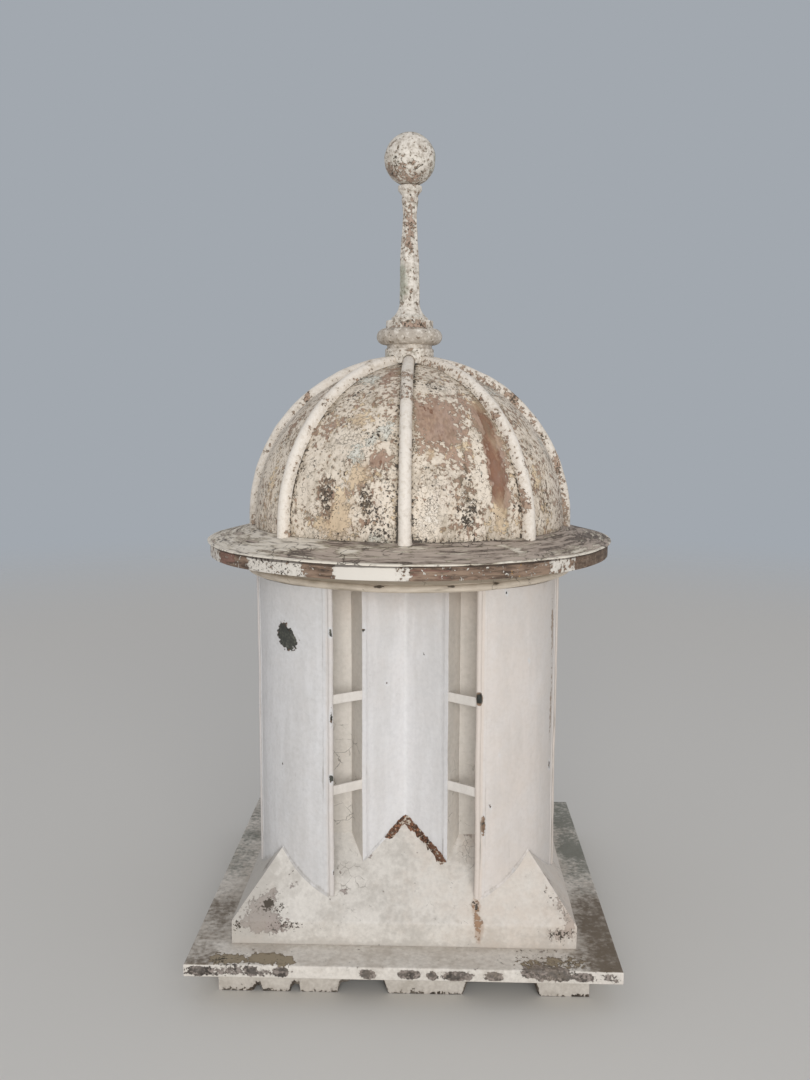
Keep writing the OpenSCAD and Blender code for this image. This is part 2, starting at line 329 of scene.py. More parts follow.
def spot(x, y, z):
    """A place on the object, from millimetres."""
    return Vector((x, y, z)) * MM


print("dabs are blobs that fade over their reach")

# %% [markdown]
# ## The skirt
# A strip of sheet hangs below the flange and used to be flashed into the roof. Along the front it
# has rusted through in four places. The line of its foot is read from the solid, then roughened,
# because rust leaves a nibbled edge.

# %% Skirt
NIBBLE = 2.2 * MM
NIBBLE_SPAN = 7 * MM
notch_line = sorted((p.x, p.z) for p in points_of("skirt")
                    if p.y < skirt_low.y + HAIR and p.z < skirt_high.z - HAIR)


def skirt_foot(x):
    """Height of the foot of the front skirt at a place across the front."""
    for (x0, z0), (x1, z1) in zip(notch_line, notch_line[1:]):
        if x0 <= x <= x1 and x1 - x0 > HAIR:
            height = z0 + (z1 - z0) * (x - x0) / (x1 - x0)
            nibble = NIBBLE * noise.noise(Vector((x / NIBBLE_SPAN, 0, 3)))
            return max(0.0, height + nibble) if height > 2 * MM else height
    return 0.0


def skirt_ring(x, quarters):
    """Section of the skirt at a place along one side."""
    half = skirt_high.x
    foot = skirt_foot(x) if quarters == 0 else 0.0
    levels = steps(foot, skirt_high.z, 7 * MM) if foot < 1 * MM else [
        foot + (skirt_high.z - foot) * i / 7 for i in range(8)]
    outer = [(half, z) for z in levels]
    inner = [(half - gauge, z) for z in reversed(levels)]
    return [turn(Vector((x * d / half, -d, z)), quarters) for d, z in outer + inner]


skirt_rings = []
for quarters in range(4):
    pitch = 1.6 * MM if quarters == 0 else 6 * MM
    skirt_rings += [skirt_ring(x, quarters) for x in steps(-skirt_high.x, skirt_high.x, pitch)[:-1]]
skirt = skin("skirt_sheet", [skirt_rings], looped=True)
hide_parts("skirt")
print("skirt sections:", len(skirt_rings), "with", len(skirt_rings[0]), "points each")

# %% [markdown]
# ## The base flange and the plinth
# The flange is a square frame of board dressed in sheet, and the plinth is four panels that meet at
# mitred hips. Both are one section carried round a square: a point that is some distance out from
# the centre moves along its side in proportion, so the corners mitre by themselves.

# %% Flange and plinth
def square_rings(section, quarters, pitch):
    """Sections along one side of a square, mitred at both ends; a section is (distance, height)."""
    widest = max(distance for distance, _ in section)
    return [[turn(Vector((share * distance, -distance, height)), quarters)
             for distance, height in section]
            for share in steps(-1, 1, pitch / widest)]


flange_inner = min(-p.y for p in points_of("base_flange") if p.y < 0 and abs(p.x) < -p.y + HAIR)
flange_section = refined(eased([(flange_inner, flange_low.z), (flange_high.x, flange_low.z),
                                (flange_high.x, flange_high.z), (flange_inner, flange_high.z)],
                               2.4 * MM), 6 * MM)
flange_rings = []
for quarters in range(4):
    flange_rings += square_rings(flange_section, quarters, 5 * MM)[:-1]
flange = skin("flange_sheet", [flange_rings], looped=True)
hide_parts("base_flange")

drop = gauge * math.hypot(1, slope_tan)
plinth_section = [(plinth_half, flange_high.z), (plinth_half, knee_z), (throat_half, plinth_top),
                  (throat_half, plinth_top - drop),
                  (plinth_half - gauge, knee_z + gauge * slope_tan - drop),
                  (plinth_half - gauge, flange_high.z)]
plinth_section = refined(eased(plinth_section, 2.6 * MM), 6 * MM)
plinth = {}
for quarters, side in enumerate(SIDES):
    plinth[side] = skin("plinth_panel_" + side, [square_rings(plinth_section, quarters, 5 * MM)])
    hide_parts("plinth_" + side)
print("faces of the flange and a plinth panel:", len(flange.data.polygons),
      len(plinth["front"].data.polygons))

# %% [markdown]
# ## Sheets that stand on the slopes
# Every baffle is a strip of sheet that stands on the slopes of the plinth and ends under the neck.
# Seen from above it is only a line with a thickness, so each one is an outline in plan, carried up
# from the slope to the lid.

# %% Standing sheets
SINK = 0.4 * MM


def slope_z(x, y):
    """Height of the surface of the plinth under a place in plan."""
    return knee_z + (plinth_half - max(abs(x), abs(y))) * slope_tan


def standing(outline, quarters, pitch=7 * MM):
    """Sections of a sheet with an outline in plan, from the slope of the plinth up to the lid."""
    foot = [slope_z(x, y) - SINK for x, y in outline]
    return [[turn(Vector((x, y, z + (lid_z - z) * share)), quarters)
             for (x, y), z in zip(outline, foot)]
            for share in steps(0, 1, pitch / (lid_z - knee_z))]


def wire(x, y, radius, quarters, seed):
    """A wired edge: sheet rolled round a wire, lumpy where the paint has run."""
    rings = []
    foot = slope_z(x, y) - SINK
    for z in steps(foot, lid_z, 6 * MM):
        out = radius * (1 + 0.09 * noise.noise(Vector((seed, 0, z / (17 * MM)))))
        rings.append([turn(Vector((x + out * math.cos(a), y + out * math.sin(a), z)), quarters)
                      for a in steps(0, math.tau, math.tau / 14)[:-1]])
    return rings


def painted_joint(path, quarters, seed, width=2.2 * MM):
    """A small hollow of solder and paint where a standing sheet meets the slope.
    The path is (x, y, across_x, across_y) in plan, and across points away from the sheet."""
    rings = []
    for i, (x, y, across_x, across_y) in enumerate(path):
        wide = width * (1 + 0.35 * noise.noise(Vector((i * 0.21, seed, 0))))
        foot = slope_z(x, y)
        out_x, out_y = x + across_x * wide, y + across_y * wide
        top = Vector((x + across_x * 0.3 * MM, y + across_y * 0.3 * MM, foot + wide))
        toe = Vector((out_x, out_y, slope_z(out_x, out_y) + 0.3 * MM))
        heart = Vector((x, y, foot + 0.2 * MM))
        hollow = [top * (1 - t) ** 2 + heart * (2 * t * (1 - t)) + toe * t ** 2
                  for t in (0, 0.2, 0.4, 0.6, 0.8, 1)]
        buried = [Vector((out_x, out_y, toe.z - 2 * MM)), Vector((x, y, foot - 2 * MM))]
        rings.append([turn(point, quarters) for point in hollow + buried])
    return rings


print("slope under a wired edge:", round(slope_z(edge_x, -edge_y) / MM, 1), "mm above the floor")

# %% [markdown]
# ## Corner baffles
# Four curved sheets guard the corners. Each long edge is wrapped round a stiffening wire, and the
# wrapped strip shows as a low step beside the round edge. The arc gets extra points at that step,
# so that it stays crisp instead of fading over a whole face.

# %% Corner baffles
HEM_WIDTH = 11 * MM
HEM_RISE = 0.8 * MM
hem_bend = arc_half - HEM_WIDTH / corner_r
step_bend = 0.5 * MM / corner_r
bends = (steps(-arc_half, -hem_bend, 0.02) + steps(step_bend - hem_bend, hem_bend - step_bend, 0.022)
         + steps(hem_bend, arc_half, 0.02))


def corner_point(bend, radius):
    """A place on the plan of the front right corner baffle, at a bend from its middle."""
    angle = bend - math.pi / 4
    return arc_centre + radius * math.cos(angle), -arc_centre + radius * math.sin(angle)


corner_outer = [corner_point(b, corner_r + gauge / 2 + (HEM_RISE if abs(b) >= hem_bend else 0))
                for b in bends]
corner_inner = [corner_point(b, corner_r - gauge / 2) for b in bends]
corner_path = [corner_point(b, corner_r + gauge / 2)
               + (math.cos(b - math.pi / 4), math.sin(b - math.pi / 4))
               for b in steps(-arc_half + 0.02, arc_half - 0.02, 0.022)]
corner_sheets = {}
for quarters, corner in enumerate(CORNERS):
    sheet = standing(corner_outer + corner_inner[::-1], quarters)
    wires = [wire(edge_x, -edge_y, WIRE_R, quarters, quarters + 0.3),
             wire(edge_y, -edge_x, WIRE_R, quarters, quarters + 0.7)]
    joint = painted_joint(corner_path, quarters, quarters)
    piece = skin("corner_sheet_" + corner, [sheet, joint] + wires)
    corner_sheets[corner] = piece
    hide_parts("corner_baffle_" + corner)
print("corner sheet:", len(corner_sheets["front_right"].data.polygons), "faces,",
      round(2 * arc_half * corner_r / MM), "mm along its curve")

# %% [markdown]
# ## Vee baffles
# Between the corners stands a sheet folded inwards to a shallow valley. The fold has a radius of
# its own, which shows as a soft bright line. Its two free edges are hemmed: the sheet is turned
# back on itself, so the edge is thicker and rounder than the leaf.

# %% Vee baffles
FOLD_R = 3.2 * MM
VEE_HEM = 6 * MM


def valley(x):
    """Distance from the centre line to the front of the vee baffle, at a place across it."""
    soft = (math.hypot(x, FOLD_R) - FOLD_R) / (math.hypot(vee_x, FOLD_R) - FOLD_R)
    return valley_y + (vee_y - valley_y) * soft


vee_places = ([-vee_x, 0.6 * MM - vee_x] + steps(1.8 * MM - vee_x, VEE_HEM - vee_x, 2 * MM)
              + steps(VEE_HEM + 0.4 * MM - vee_x, -8 * MM, 5 * MM))
vee_places = vee_places + steps(-6 * MM, 6 * MM, 1 * MM) + [-x for x in reversed(vee_places)]
lean = (vee_y - valley_y) / vee_x
vee_turn = math.hypot(1, lean)
vee_front, vee_rear = [], []
for x in vee_places:
    hemmed = vee_x - abs(x) <= VEE_HEM
    round_off = 0.8 * MM if vee_x - abs(x) < 0.3 * MM else 0.0
    vee_front.append((x, -valley(x) - (0.7 * MM if hemmed else 0.0) + round_off))
    vee_rear.append((x, -valley(x) + gauge * vee_turn))
vee_path = []
for x in steps(3 * MM - vee_x, vee_x - 3 * MM, 4 * MM):
    sideways = -math.copysign(lean, x) / vee_turn if abs(x) > FOLD_R else 0.0
    vee_path.append((x, -valley(x), sideways, -1 / vee_turn))
vee_sheets = {}
for quarters, side in enumerate(SIDES):
    piece = skin("vee_sheet_" + side, [standing(vee_front + vee_rear[::-1], quarters),
                                       painted_joint(vee_path, quarters, 7 + quarters, 1.6 * MM)])
    vee_sheets[side] = piece
    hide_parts("vee_baffle_" + side)
print("vee sheet:", len(vee_sheets["front"].data.polygons), "faces")

# %% [markdown]
# ## Inner baffles and the chamber lid
# Behind each slot a return and a flat leaf keep the rain out and leave the draught a way round.
# They are seen only through the slots, as dull cream paint in the shade. The lid of the chamber is
# a plain flat disc inside the neck, with only the unevenness that all the sheets share.

# %% Inner baffles and lid
def offset_path(path, gap):
    """A path in plan moved sideways by gap, with mitred turns."""
    moved = []
    for i, here in enumerate(path):
        before = (path[i] - path[i - 1] if i else path[1] - path[0]).normalized()
        after = (path[i + 1] - path[i] if i + 1 < len(path) else before).normalized()
        across = Vector((-before.y - after.y, before.x + after.x)).normalized()
        moved.append(here + across * gap / across.dot(Vector((-before.y, before.x))))
    return moved


leaf_path = [Vector(point) for point in refined(
    [(vee_x, -vee_y), (leaf_x, -leaf_y), (leaf_end, -leaf_y)], 6 * MM, closed=False)]
leaf_outline = leaf_path + offset_path(leaf_path, gauge)[::-1]
inner_sheets = {}
for quarters, side in enumerate(SIDES):
    leaves = [standing([(hand * point.x, point.y) for point in leaf_outline], quarters, 12 * MM)
              for hand in (-1, 1)]
    inner_sheets[side] = skin("inner_sheets_" + side, leaves)
    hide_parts("inner_baffles_" + side)
print("inner sheets:", len(inner_sheets), "pieces of two leaves")

# %% [markdown]
# ## Slot braces
# Two short flat bars cross every slot and stop the wired edges from drumming in the wind. A bar is
# an eased rectangle carried from the wired edge to the vee baffle, with a lump of solder and paint
# at each end. All sixteen are alike on one body, so they are one piece.

# %% Slot braces
BAR_THICK = 3 * MM
brace_bodies = []
brace_start = Vector((vee_x, -vee_y))
brace_run = Vector((edge_x, -edge_y)) - brace_start
brace_along = brace_run.normalized()
brace_inward = Vector((-brace_along.y, brace_along.x))
brace_length = brace_run.length - 0.6 * WIRE_R
for quarters in range(4):
    for hand in (-1, 1):
        for low, high in zip(brace_levels[0::2], brace_levels[1::2]):
            section = eased([(0, low), (BAR_THICK, low), (BAR_THICK, high), (0, high)], 1 * MM)
            middle = (low + high) / 2
            rings = []
            for share in steps(0, 1, 0.07):
                swell = 1 + 0.28 * math.exp(-share * 9) + 0.45 * math.exp((share - 1) * 9)
                centre = brace_start + brace_along * (brace_length * share)
                ring = []
                for depth, height in section:
                    inward = (depth - BAR_THICK / 2) * swell + BAR_THICK / 2
                    place = centre + brace_inward * inward
                    z = middle + (height - middle) * (0.97 + 0.03 * swell)
                    ring.append(turn(Vector((hand * place.x, place.y, z)), quarters))
                rings.append(ring)
            brace_bodies.append(rings)
braces = skin("slot_brace_bars", brace_bodies)
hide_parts("slot_braces")
print("brace bars:", len(brace_bodies))

# %% [markdown]
# ## The seam that rusts
# At the front foot of the vee the paint has come off the soldered joint, and bare brown rust shows
# as an uneven chevron. It is a lumpy strip of its own: its width and thickness wander, so its edge
# is ragged in outline and not only in colour.

# %% Rusty joint
slope_angle = math.atan(slope_tan)
joint_left, joint_right = -31 * MM, 62 * MM
rust_rings = []
for x in steps(joint_left + 1 * MM, joint_right - 1 * MM, 1.3 * MM):
    wander = noise.noise(Vector((x / (11 * MM), 5, 0)))
    ragged = noise.noise(Vector((x / (3.2 * MM), 9, 0)))
    taper = min(1.0, (x - joint_left) / (9 * MM), (joint_right - x) / (8 * MM))
    above = (4.0 * MM + 3.0 * MM * ragged) * taper
    below = max(1.0 * MM, (12 * MM + 5.0 * MM * wander + 5.0 * MM * ragged) * taper)
    line = []
    for share in steps(0, 1, 1 / 7):
        along = (above + below) * share - above
        edge_on = 1 - (2 * share - 1) ** 4
        crumb = noise.noise(Vector((x / (2.4 * MM), share * 3, 4)))
        proud = 0.4 * MM + edge_on * (2.2 * MM + 1.0 * MM * crumb)
        if along < 0:
            line.append((proud, -along))
        else:
            down_slope = along * math.cos(slope_angle)
            line.append((down_slope + proud * math.sin(slope_angle),
                         proud * math.cos(slope_angle) - down_slope * slope_tan))
    foot = slope_z(x, -valley(x))
    front = [Vector((x, -valley(x) - out, foot + up)) for out, up in line]
    back = [point + Vector((0, 1.5 * MM, -1.5 * MM)) for point in reversed(front)]
    rust_rings.append(front + back)
rust_seam = skin("rusty_joint_front", [rust_rings], crease=60)
print("rusty joint:", len(rust_rings), "sections")

# %% [markdown]
# ## Turned pieces
# The neck, soffit, fascia and brim were spun or bent round a former. Each one is its own section
# carried round the centre line. Between the true section and the mesh sits a small wobble, which
# says how this piece has been knocked: the lip of the brim is wavy, the mouldings hardly at all.

# %% Neck, soffit, fascia and brim
def turned(name, section, columns, wobble=None, crease=35):
    """A piece turned from a closed section; the wobble moves (azimuth, radius, height)."""
    rings = []
    for azimuth in steps(0, 360, 360 / columns)[:-1]:
        ring = []
        for radius, height in section:
            a, r, z = wobble(azimuth, radius, height) if wobble else (azimuth, radius, height)
            ring.append(around(a, r, z))
        rings.append(ring)
    return skin(name, [rings], looped=True, crease=crease)


def ripple(azimuth, length, seed):
    """A smooth random value round the piece that closes on itself."""
    angle = math.radians(azimuth)
    return noise.noise(Vector((math.cos(angle), math.sin(angle), seed)) / length)


def lip_wave(azimuth, radius, height):
    """The brim droops and nicks a little more towards its free lip."""
    free = max(0.0, (radius - dome_r) / (lip_r - dome_r)) ** 2
    nick = max(0.0, ripple(azimuth, 0.03, 4.0) - 0.28)
    inward = free * (1.1 * MM * (0.5 + 0.5 * ripple(azimuth, 0.12, 1.0)) + 5 * MM * nick)
    lift = free * 1.6 * MM * ripple(azimuth, 0.3, 2.0)
    return azimuth, radius - inward, height + lift


def fascia_wave(azimuth, radius, height):
    """The fascia is buckled a little between its fixings."""
    return azimuth, radius - 0.5 * MM * abs(ripple(azimuth, 0.08, 6.0)), height


neck = turned("neck_moulding", refined(turned_section("neck_ring"), 3 * MM), 240)
soffit = turned("soffit_ring", refined(turned_section("soffit"), 8 * MM), 200)
fascia = turned("fascia_band", refined(eased(turned_section("fascia"), 0.5 * MM), 3 * MM), 360,
                fascia_wave)
seat_z = lip_z + (lip_r - seat_r) * brim_tan
brim_section = [(seat_r, seat_z), (lip_r, lip_z), (lip_r, lip_z - gauge), (seat_r, seat_z - gauge)]
brim = turned("brim_sheet", refined(eased(brim_section, 0.7 * MM), 5 * MM), 400, lip_wave)
lid_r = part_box("chamber_lid")[1].x
lid_section = [(NEAR_AXIS, lid_z + gauge), (lid_r, lid_z + gauge), (lid_r, lid_z), (NEAR_AXIS, lid_z)]
lid = turned("chamber_lid_disc", refined(lid_section, 20 * MM), 96)
for piece, node_name, slot_name in ((neck, "neck_ring", "neck_paint"), (soffit, "soffit", "neck_paint"),
                                    (fascia, "fascia", "fascia_paint"), (brim, "brim", "brim_paint"),
                                    (lid, "chamber_lid", "inner_paint")):
    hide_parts(node_name)
print("brim:", len(brim.data.polygons), "faces")

# %% [markdown]
# ## The dome
# Eight gores of sheet were beaten to a curve and soldered edge to edge. A beaten sheet keeps the
# marks of the mallet as very shallow hollows, which only show as a slight unrest in the light. The
# sheet starts a little behind the face of its solid, so that no bump comes out of it.

# %% Gores
GORE_TURN = 45
BEHIND_FACE = 0.3 * MM
gore_end = math.acos(gore_top_r / dome_r)


def dome_section(radius):
    """The outline of the dome at a radius: an upright stilt, then a quarter circle."""
    stilt = [(radius, z) for z in steps(dome_foot_z, curve_z, 4 * MM)[:-1]]
    curve = [(radius * math.cos(a), curve_z + radius * math.sin(a)) for a in steps(0, gore_end, 0.018)]
    return stilt + curve


gores = []
for number in range(1, 9):
    rings = []
    for azimuth in steps((number - 1) * GORE_TURN + 0.04, number * GORE_TURN - 0.04, 1.15):
        ring = []
        for radius, height in dome_section(dome_r) + dome_section(dome_r - gauge)[::-1]:
            place = around(azimuth, radius, height)
            mallet = 0.5 * MM * noise.noise(place / (38 * MM))
            mallet *= min(1, (height - dome_foot_z) / (20 * MM))
            out = Vector((place.x, place.y, max(0.0, place.z - curve_z))).normalized()
            ring.append(place - out * (BEHIND_FACE + mallet))
        rings.append(ring)
    gore = skin("gore_" + str(number), [rings])
    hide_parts("dome_gore_" + str(number))
    gores.append(gore)
print("gores:", len(gores), "of", len(gores[0].data.polygons), "faces")

# %% [markdown]
# ## Rolls
# A half-round roll covers each seam between two gores. The rolls are thick with paint, so their
# width wanders along the length. At the foot each one is dressed down flat on the brim, where it
# spreads a little.

# %% Rolls
def roll_section(wide, tall):
    """Half outline of a roll as (across, out) pairs: short upright sides and a round back."""
    side = tall - wide
    return [(-wide, 0)] + [(-wide * math.cos(a), side + wide * math.sin(a))
                           for a in steps(0, math.pi, math.pi / 12)] + [(wide, 0)]


roll_tall = roll_reach - dome_r
brim_under_roll = lip_z + (lip_r - roll_reach) * brim_tan
rolls = []
for number in range(1, 9):
    seam = (number - 1) * GORE_TURN
    rings = []
    stations = [(dome_r, z, 0.0) for z in steps(brim_under_roll + 0.8 * MM, curve_z, 3 * MM)[:-1]]
    stations += [(dome_r, curve_z, a) for a in steps(0, gore_end, 0.014)]
    for i, (radius, base_z, lift) in enumerate(stations):
        wander = noise.noise(Vector((number * 3.1, i * 0.16, 0)))
        fine = noise.noise(Vector((number * 5.3, i * 0.6, 2)))
        spread = 1 + 0.16 * math.exp(-i / 3)
        wide = (roll_half - 0.5 * MM) * (1 + 0.05 * wander + 0.02 * fine) * spread
        tall = (roll_tall - 0.5 * MM) * (1 + 0.05 * wander)
        ring = []
        for across, out in roll_section(wide, tall):
            reach = radius - 0.8 * MM + out * 1.05
            r = reach * math.cos(lift)
            z = base_z + reach * math.sin(lift)
            if lift == 0.0:
                z = max(z, lip_z + (lip_r - reach) * brim_tan + 0.2 * MM)
            shift = across + 0.7 * MM * noise.noise(Vector((number * 7.7, i * 0.05, 1)))
            ring.append(around(seam, r, z) + around(seam + 90, 1, 0) * shift)
        rings.append(ring)
    roll = skin("roll_" + str(number), [rings], crease=50)
    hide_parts("dome_roll_" + str(number))
    rolls.append(roll)
print("rolls:", len(rolls), "of", len(rolls[0].data.polygons), "faces")

# %% [markdown]
# ## The finial
# The finial is turned wood or spun zinc, thick with paint: a collar that arches over each roll, a
# large ring, a tapered stem and a ball. The stem has eight soft faces, which are cut just inside
# the round section. The ball is slightly out of true, as an old hollow ball is.

# %% Collar, stem and ball
collar_wall = 3 * MM
arch_half = roll_half + 0.6 * MM
arch_top = curve_z + math.sqrt((dome_r + roll_tall) ** 2 - (collar_high.x - collar_wall) ** 2)


def arch(azimuth):
    """Height of the lower edge of the collar: it lifts in an arch over each roll."""
    nearest = GORE_TURN * round(azimuth / GORE_TURN)
    across = abs(math.radians(azimuth - nearest)) * collar_high.x
    low = collar_low.z + 1.2 * MM
    if across >= arch_half:
        return low
    return max(low, arch_top - arch_half + math.sqrt(arch_half ** 2 - across ** 2) + 0.2 * MM)


collar_rings = []
for azimuth in steps(0, 360, 1.25)[:-1]:
    foot = arch(azimuth)
    top = collar_high.z
    lump = 0.5 * MM * ripple(azimuth, 0.2, 3.0)
    outer_r = collar_high.x - 0.5 * MM + lump
    wall = [(outer_r - 0.7 * MM, foot)]
    wall += [(outer_r, foot + 0.8 * MM + (top - foot - 2.3 * MM) * t) for t in steps(0, 1, 0.125)]
    crown_line = [(outer_r - 1.5 * MM, top), (NEAR_AXIS, top)]
    under = [(NEAR_AXIS, top - collar_wall), (outer_r - collar_wall, top - collar_wall),
             (outer_r - collar_wall, foot)]
    collar_rings.append([around(azimuth, r, z) for r, z in wall + crown_line + under])
collar = skin("collar_cup", [collar_rings], looped=True, crease=50)

spindle_section = turned_section("finial_spindle")
ball_section = turned_section("finial_ball")
stem_top = ball_section[0][1]
flare_top = next(z for r, z in spindle_section if r < 17.1 * MM)


def facets(azimuth, radius, height):
    """Eight soft faces on the tapered stem, fading out at its foot and its head."""
    on_stem = min(1, max(0, (height - flare_top + 12 * MM) / (14 * MM)),
                  max(0, (stem_top - 20 * MM - height) / (14 * MM)))
    off_face = (azimuth + 4 + 22.5) % 45 - 22.5
    flat = math.cos(math.radians(22.5)) / math.cos(math.radians(off_face))
    worn = 0.9 * flat + 0.1 if radius < 20 * MM else 1.0
    rough = 0.5 * MM * ripple(azimuth, 0.3, height / 0.05) - 0.4 * MM
    cut = radius * (1 + (worn - 1) * on_stem) + rough * min(1, radius / 0.012)
    return azimuth, max(NEAR_AXIS, cut), height


def out_of_true(azimuth, radius, height):
    """The ball is a little lumpy."""
    lump = 0.9 * MM * ripple(azimuth, 0.5, height / 0.03) - 0.6 * MM
    return azimuth, max(NEAR_AXIS, radius + lump * min(1, radius / 0.02)), height


def capped(section, foot, head):
    """An open section carried in to the centre line at its foot and at its head."""
    return [(NEAR_AXIS, foot[1])] + section + [(NEAR_AXIS, head[1])]


spindle_line = capped(spindle_section, spindle_section[0], spindle_section[-1])
spindle = turned("spindle", refined(spindle_line, 4 * MM, closed=False), 128, facets, crease=50)
ball_line = capped(ball_section[:-1], ball_section[0], ball_section[-1])
ball = turned("ball", refined(ball_line, 3 * MM, closed=False), 112, out_of_true, crease=60)
for piece, node_name in ((collar, "finial_collar"), (spindle, "finial_spindle"), (ball, "finial_ball")):
    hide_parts(node_name)
print("finial:", [len(piece.data.polygons) for piece in (collar, spindle, ball)], "faces")

# %% [markdown]
# ## Colours and nodes
# A colour is written as on a paint card, and a material is a tree of nodes. Both need a small
# helper, which the floor and the sky use first and the paint later.

# %% Colours and nodes
def linear(hex_colour):
    """A hex colour as written on a paint card, in the linear values that light adds up in."""
    channels = [int(hex_colour[i:i + 2], 16) / 255 for i in (1, 3, 5)]
    return tuple(c / 12.92 if c <= 0.04045 else ((c + 0.055) / 1.055) ** 2.4 for c in channels) + (1.0,)


def add(tree, kind, links=None, **settings):
    """Add one node with its settings; links maps its inputs to sockets or to plain values."""
    made = tree.nodes.new("ShaderNode" + kind)
    for name, value in settings.items():
        setattr(made, name, value)
    for name, value in (links or {}).items():
        if isinstance(value, bpy.types.NodeSocket):
            tree.links.new(value, made.inputs[name])
        else:
            made.inputs[name].default_value = value
    return made


print("white as light adds it up:", linear("#ffffff"))

# %% [markdown]
# ## Floor and light
# The ventilator stands on a plain pale floor. Far off the floor thins out into a pale sky, so there
# is nothing behind it but a soft cool grey, against which the cream paint reads well.

# %% Floor
FLOOR_HALF = 14.0
THIN_FROM, THIN_TO = 1.9, 5.0
sheet = bmesh.new()
bmesh.ops.create_grid(sheet, x_segments=8, y_segments=8, size=FLOOR_HALF)
floor_mesh = bpy.data.meshes.new("studio_floor")
sheet.to_mesh(floor_mesh)
sheet.free()
floor = bpy.data.objects.new("studio_floor", floor_mesh)
floor.location = (0.0, 0.5, cad_bounds[0].z - 0.3 * MM)
bpy.context.scene.collection.objects.link(floor)

floor_finish = bpy.data.materials.new("matt_studio_floor")
floor_finish.use_nodes = True
floor_tree = floor_finish.node_tree
floor_shader = floor_tree.nodes["Principled BSDF"]
floor_shader.inputs["Base Color"].default_value = linear("#d8d5cf")
floor_shader.inputs["Roughness"].default_value = 0.9
floor_place = add(floor_tree, "TexCoord").outputs["Object"]
far_off = add(floor_tree, "VectorMath", {0: floor_place}, operation="LENGTH").outputs["Value"]
thinned = add(floor_tree, "MapRange", {"Value": far_off, "From Min": THIN_FROM, "From Max": THIN_TO},
              interpolation_type="SMOOTHSTEP").outputs[0]
clear = add(floor_tree, "BsdfTransparent")
floor_out = floor_tree.nodes["Material Output"]
faded = add(floor_tree, "MixShader", {0: thinned, 1: floor_shader.outputs[0], 2: clear.outputs[0]})
floor_tree.links.new(faded.outputs[0], floor_out.inputs["Surface"])
floor_mesh.materials.append(floor_finish)
print("floor:", 2 * FLOOR_HALF, "metres square, clear from", THIN_TO, "metres")

# %% [markdown]
# One very large lamp stands in front, a little above the camera, and the sky fills the rest.
# Together they light a surface that faces the camera at about the level at which its colour is
# written. The sky that the camera sees is darker than the sky that lights the pieces.

# %% Sky and lamp
def soft_lamp(name, place, aim, size, power):
    """A large square lamp at a place, facing the point that it is aimed at."""
    data = bpy.data.lights.new(name, "AREA")
    data.shape = "RECTANGLE"
    data.size, data.size_y = size
    data.energy = power
    lamp = bpy.data.objects.new(name, data)
    lamp.location = place
    lamp.rotation_euler = (Vector(aim) - Vector(place)).to_track_quat("-Z", "Y").to_euler()
    bpy.context.scene.collection.objects.link(lamp)
    return lamp


world = bpy.data.worlds.new("studio_sky")
world.use_nodes = True
bpy.context.scene.world = world
sky = world.node_tree
sky.nodes.clear()
ray = add(sky, "LightPath")
seen = add(sky, "Math", {0: ray.outputs["Is Camera Ray"], 1: ray.outputs["Is Transmission Ray"]},
           operation="MAXIMUM")
seen_light = add(sky, "Background", {"Color": linear("#a2a8af"), "Strength": 1.0})
fill_light = add(sky, "Background", {"Color": linear("#eef0f5"), "Strength": 0.6})
both = add(sky, "MixShader", {0: seen.outputs[0], 1: fill_light.outputs[0], 2: seen_light.outputs[0]})
add(sky, "OutputWorld", {"Surface": both.outputs[0]})

front_lamp = soft_lamp("front_softbox", (0.55, -4.4, 1.35), (0, 0, 0.6), (3.6, 2.6), 114)
print("lamp:", front_lamp.data.size, "by", front_lamp.data.size_y, "metres")

# %% [markdown]
# ## How a weathered finish is built
# The real surface is a stack: metal, then a red-brown or grey primer, an ochre undercoat, and
# coats of cream or white on top. Each coat has flaked where the one below let go. The finish is
# built in the same order. Three sockets are handed upwards from layer to layer: the colour seen so
# far, its height in metres, and its roughness. A pattern can run free, down the metal, or round a
# turned piece, because drips and brush strokes have a direction. It gets that direction by being
# drawn out: a share below one along the run makes every mark longer that way.

# %% Where a pattern is read
DRAWN_DOWN = 0.16
DRAWN_ALONG = 0.36
WRAP_R = 0.19
ROUND_SHARE = 0.14


def reckon(tree, operation, *values):
    """A sum or a product of numbers, worked out at every place."""
    return add(tree, "Math", dict(enumerate(values)), operation=operation).outputs[0]


def moved(tree, operation, *values):
    """A sum or a product of vectors, worked out at every place."""
    return add(tree, "VectorMath", dict(enumerate(values)), operation=operation).outputs[0]


def scaled(tree, vector, factor):
    """A vector times a number."""
    return add(tree, "VectorMath", {0: vector, "Scale": factor}, operation="SCALE").outputs[0]


def pattern_place(tree, run, seed):
    """Coordinates for a pattern: free, down a flat sheet, along a meridian, or round the centre."""
    place = add(tree, "TexCoord").outputs["Object"]
    if run == "down":
        place = moved(tree, "MULTIPLY", place, (1.0, 1.0, DRAWN_DOWN))
    if run in ("meridian", "round"):
        flat = moved(tree, "MULTIPLY", place, (1.0, 1.0, 0.0))
        reach = add(tree, "VectorMath", {0: flat}, operation="LENGTH").outputs["Value"]
        height = add(tree, "SeparateXYZ", {0: place}).outputs["Z"]
    if run == "meridian":
        girth = scaled(tree, moved(tree, "NORMALIZE", flat), WRAP_R)
        along = reckon(tree, "MULTIPLY", reckon(tree, "SUBTRACT", height, reach), DRAWN_ALONG)
    if run == "round":
        girth = scaled(tree, flat, ROUND_SHARE)
        along = reckon(tree, "ADD", height, reach)
    if run in ("meridian", "round"):
        upright = add(tree, "CombineXYZ", {"Z": along}).outputs[0]
        place = moved(tree, "ADD", girth, upright)
    return moved(tree, "ADD", place, (0.73 * seed, 1.31 * seed, 0.57 * seed))


print("patterns run free, down, along a meridian or round")

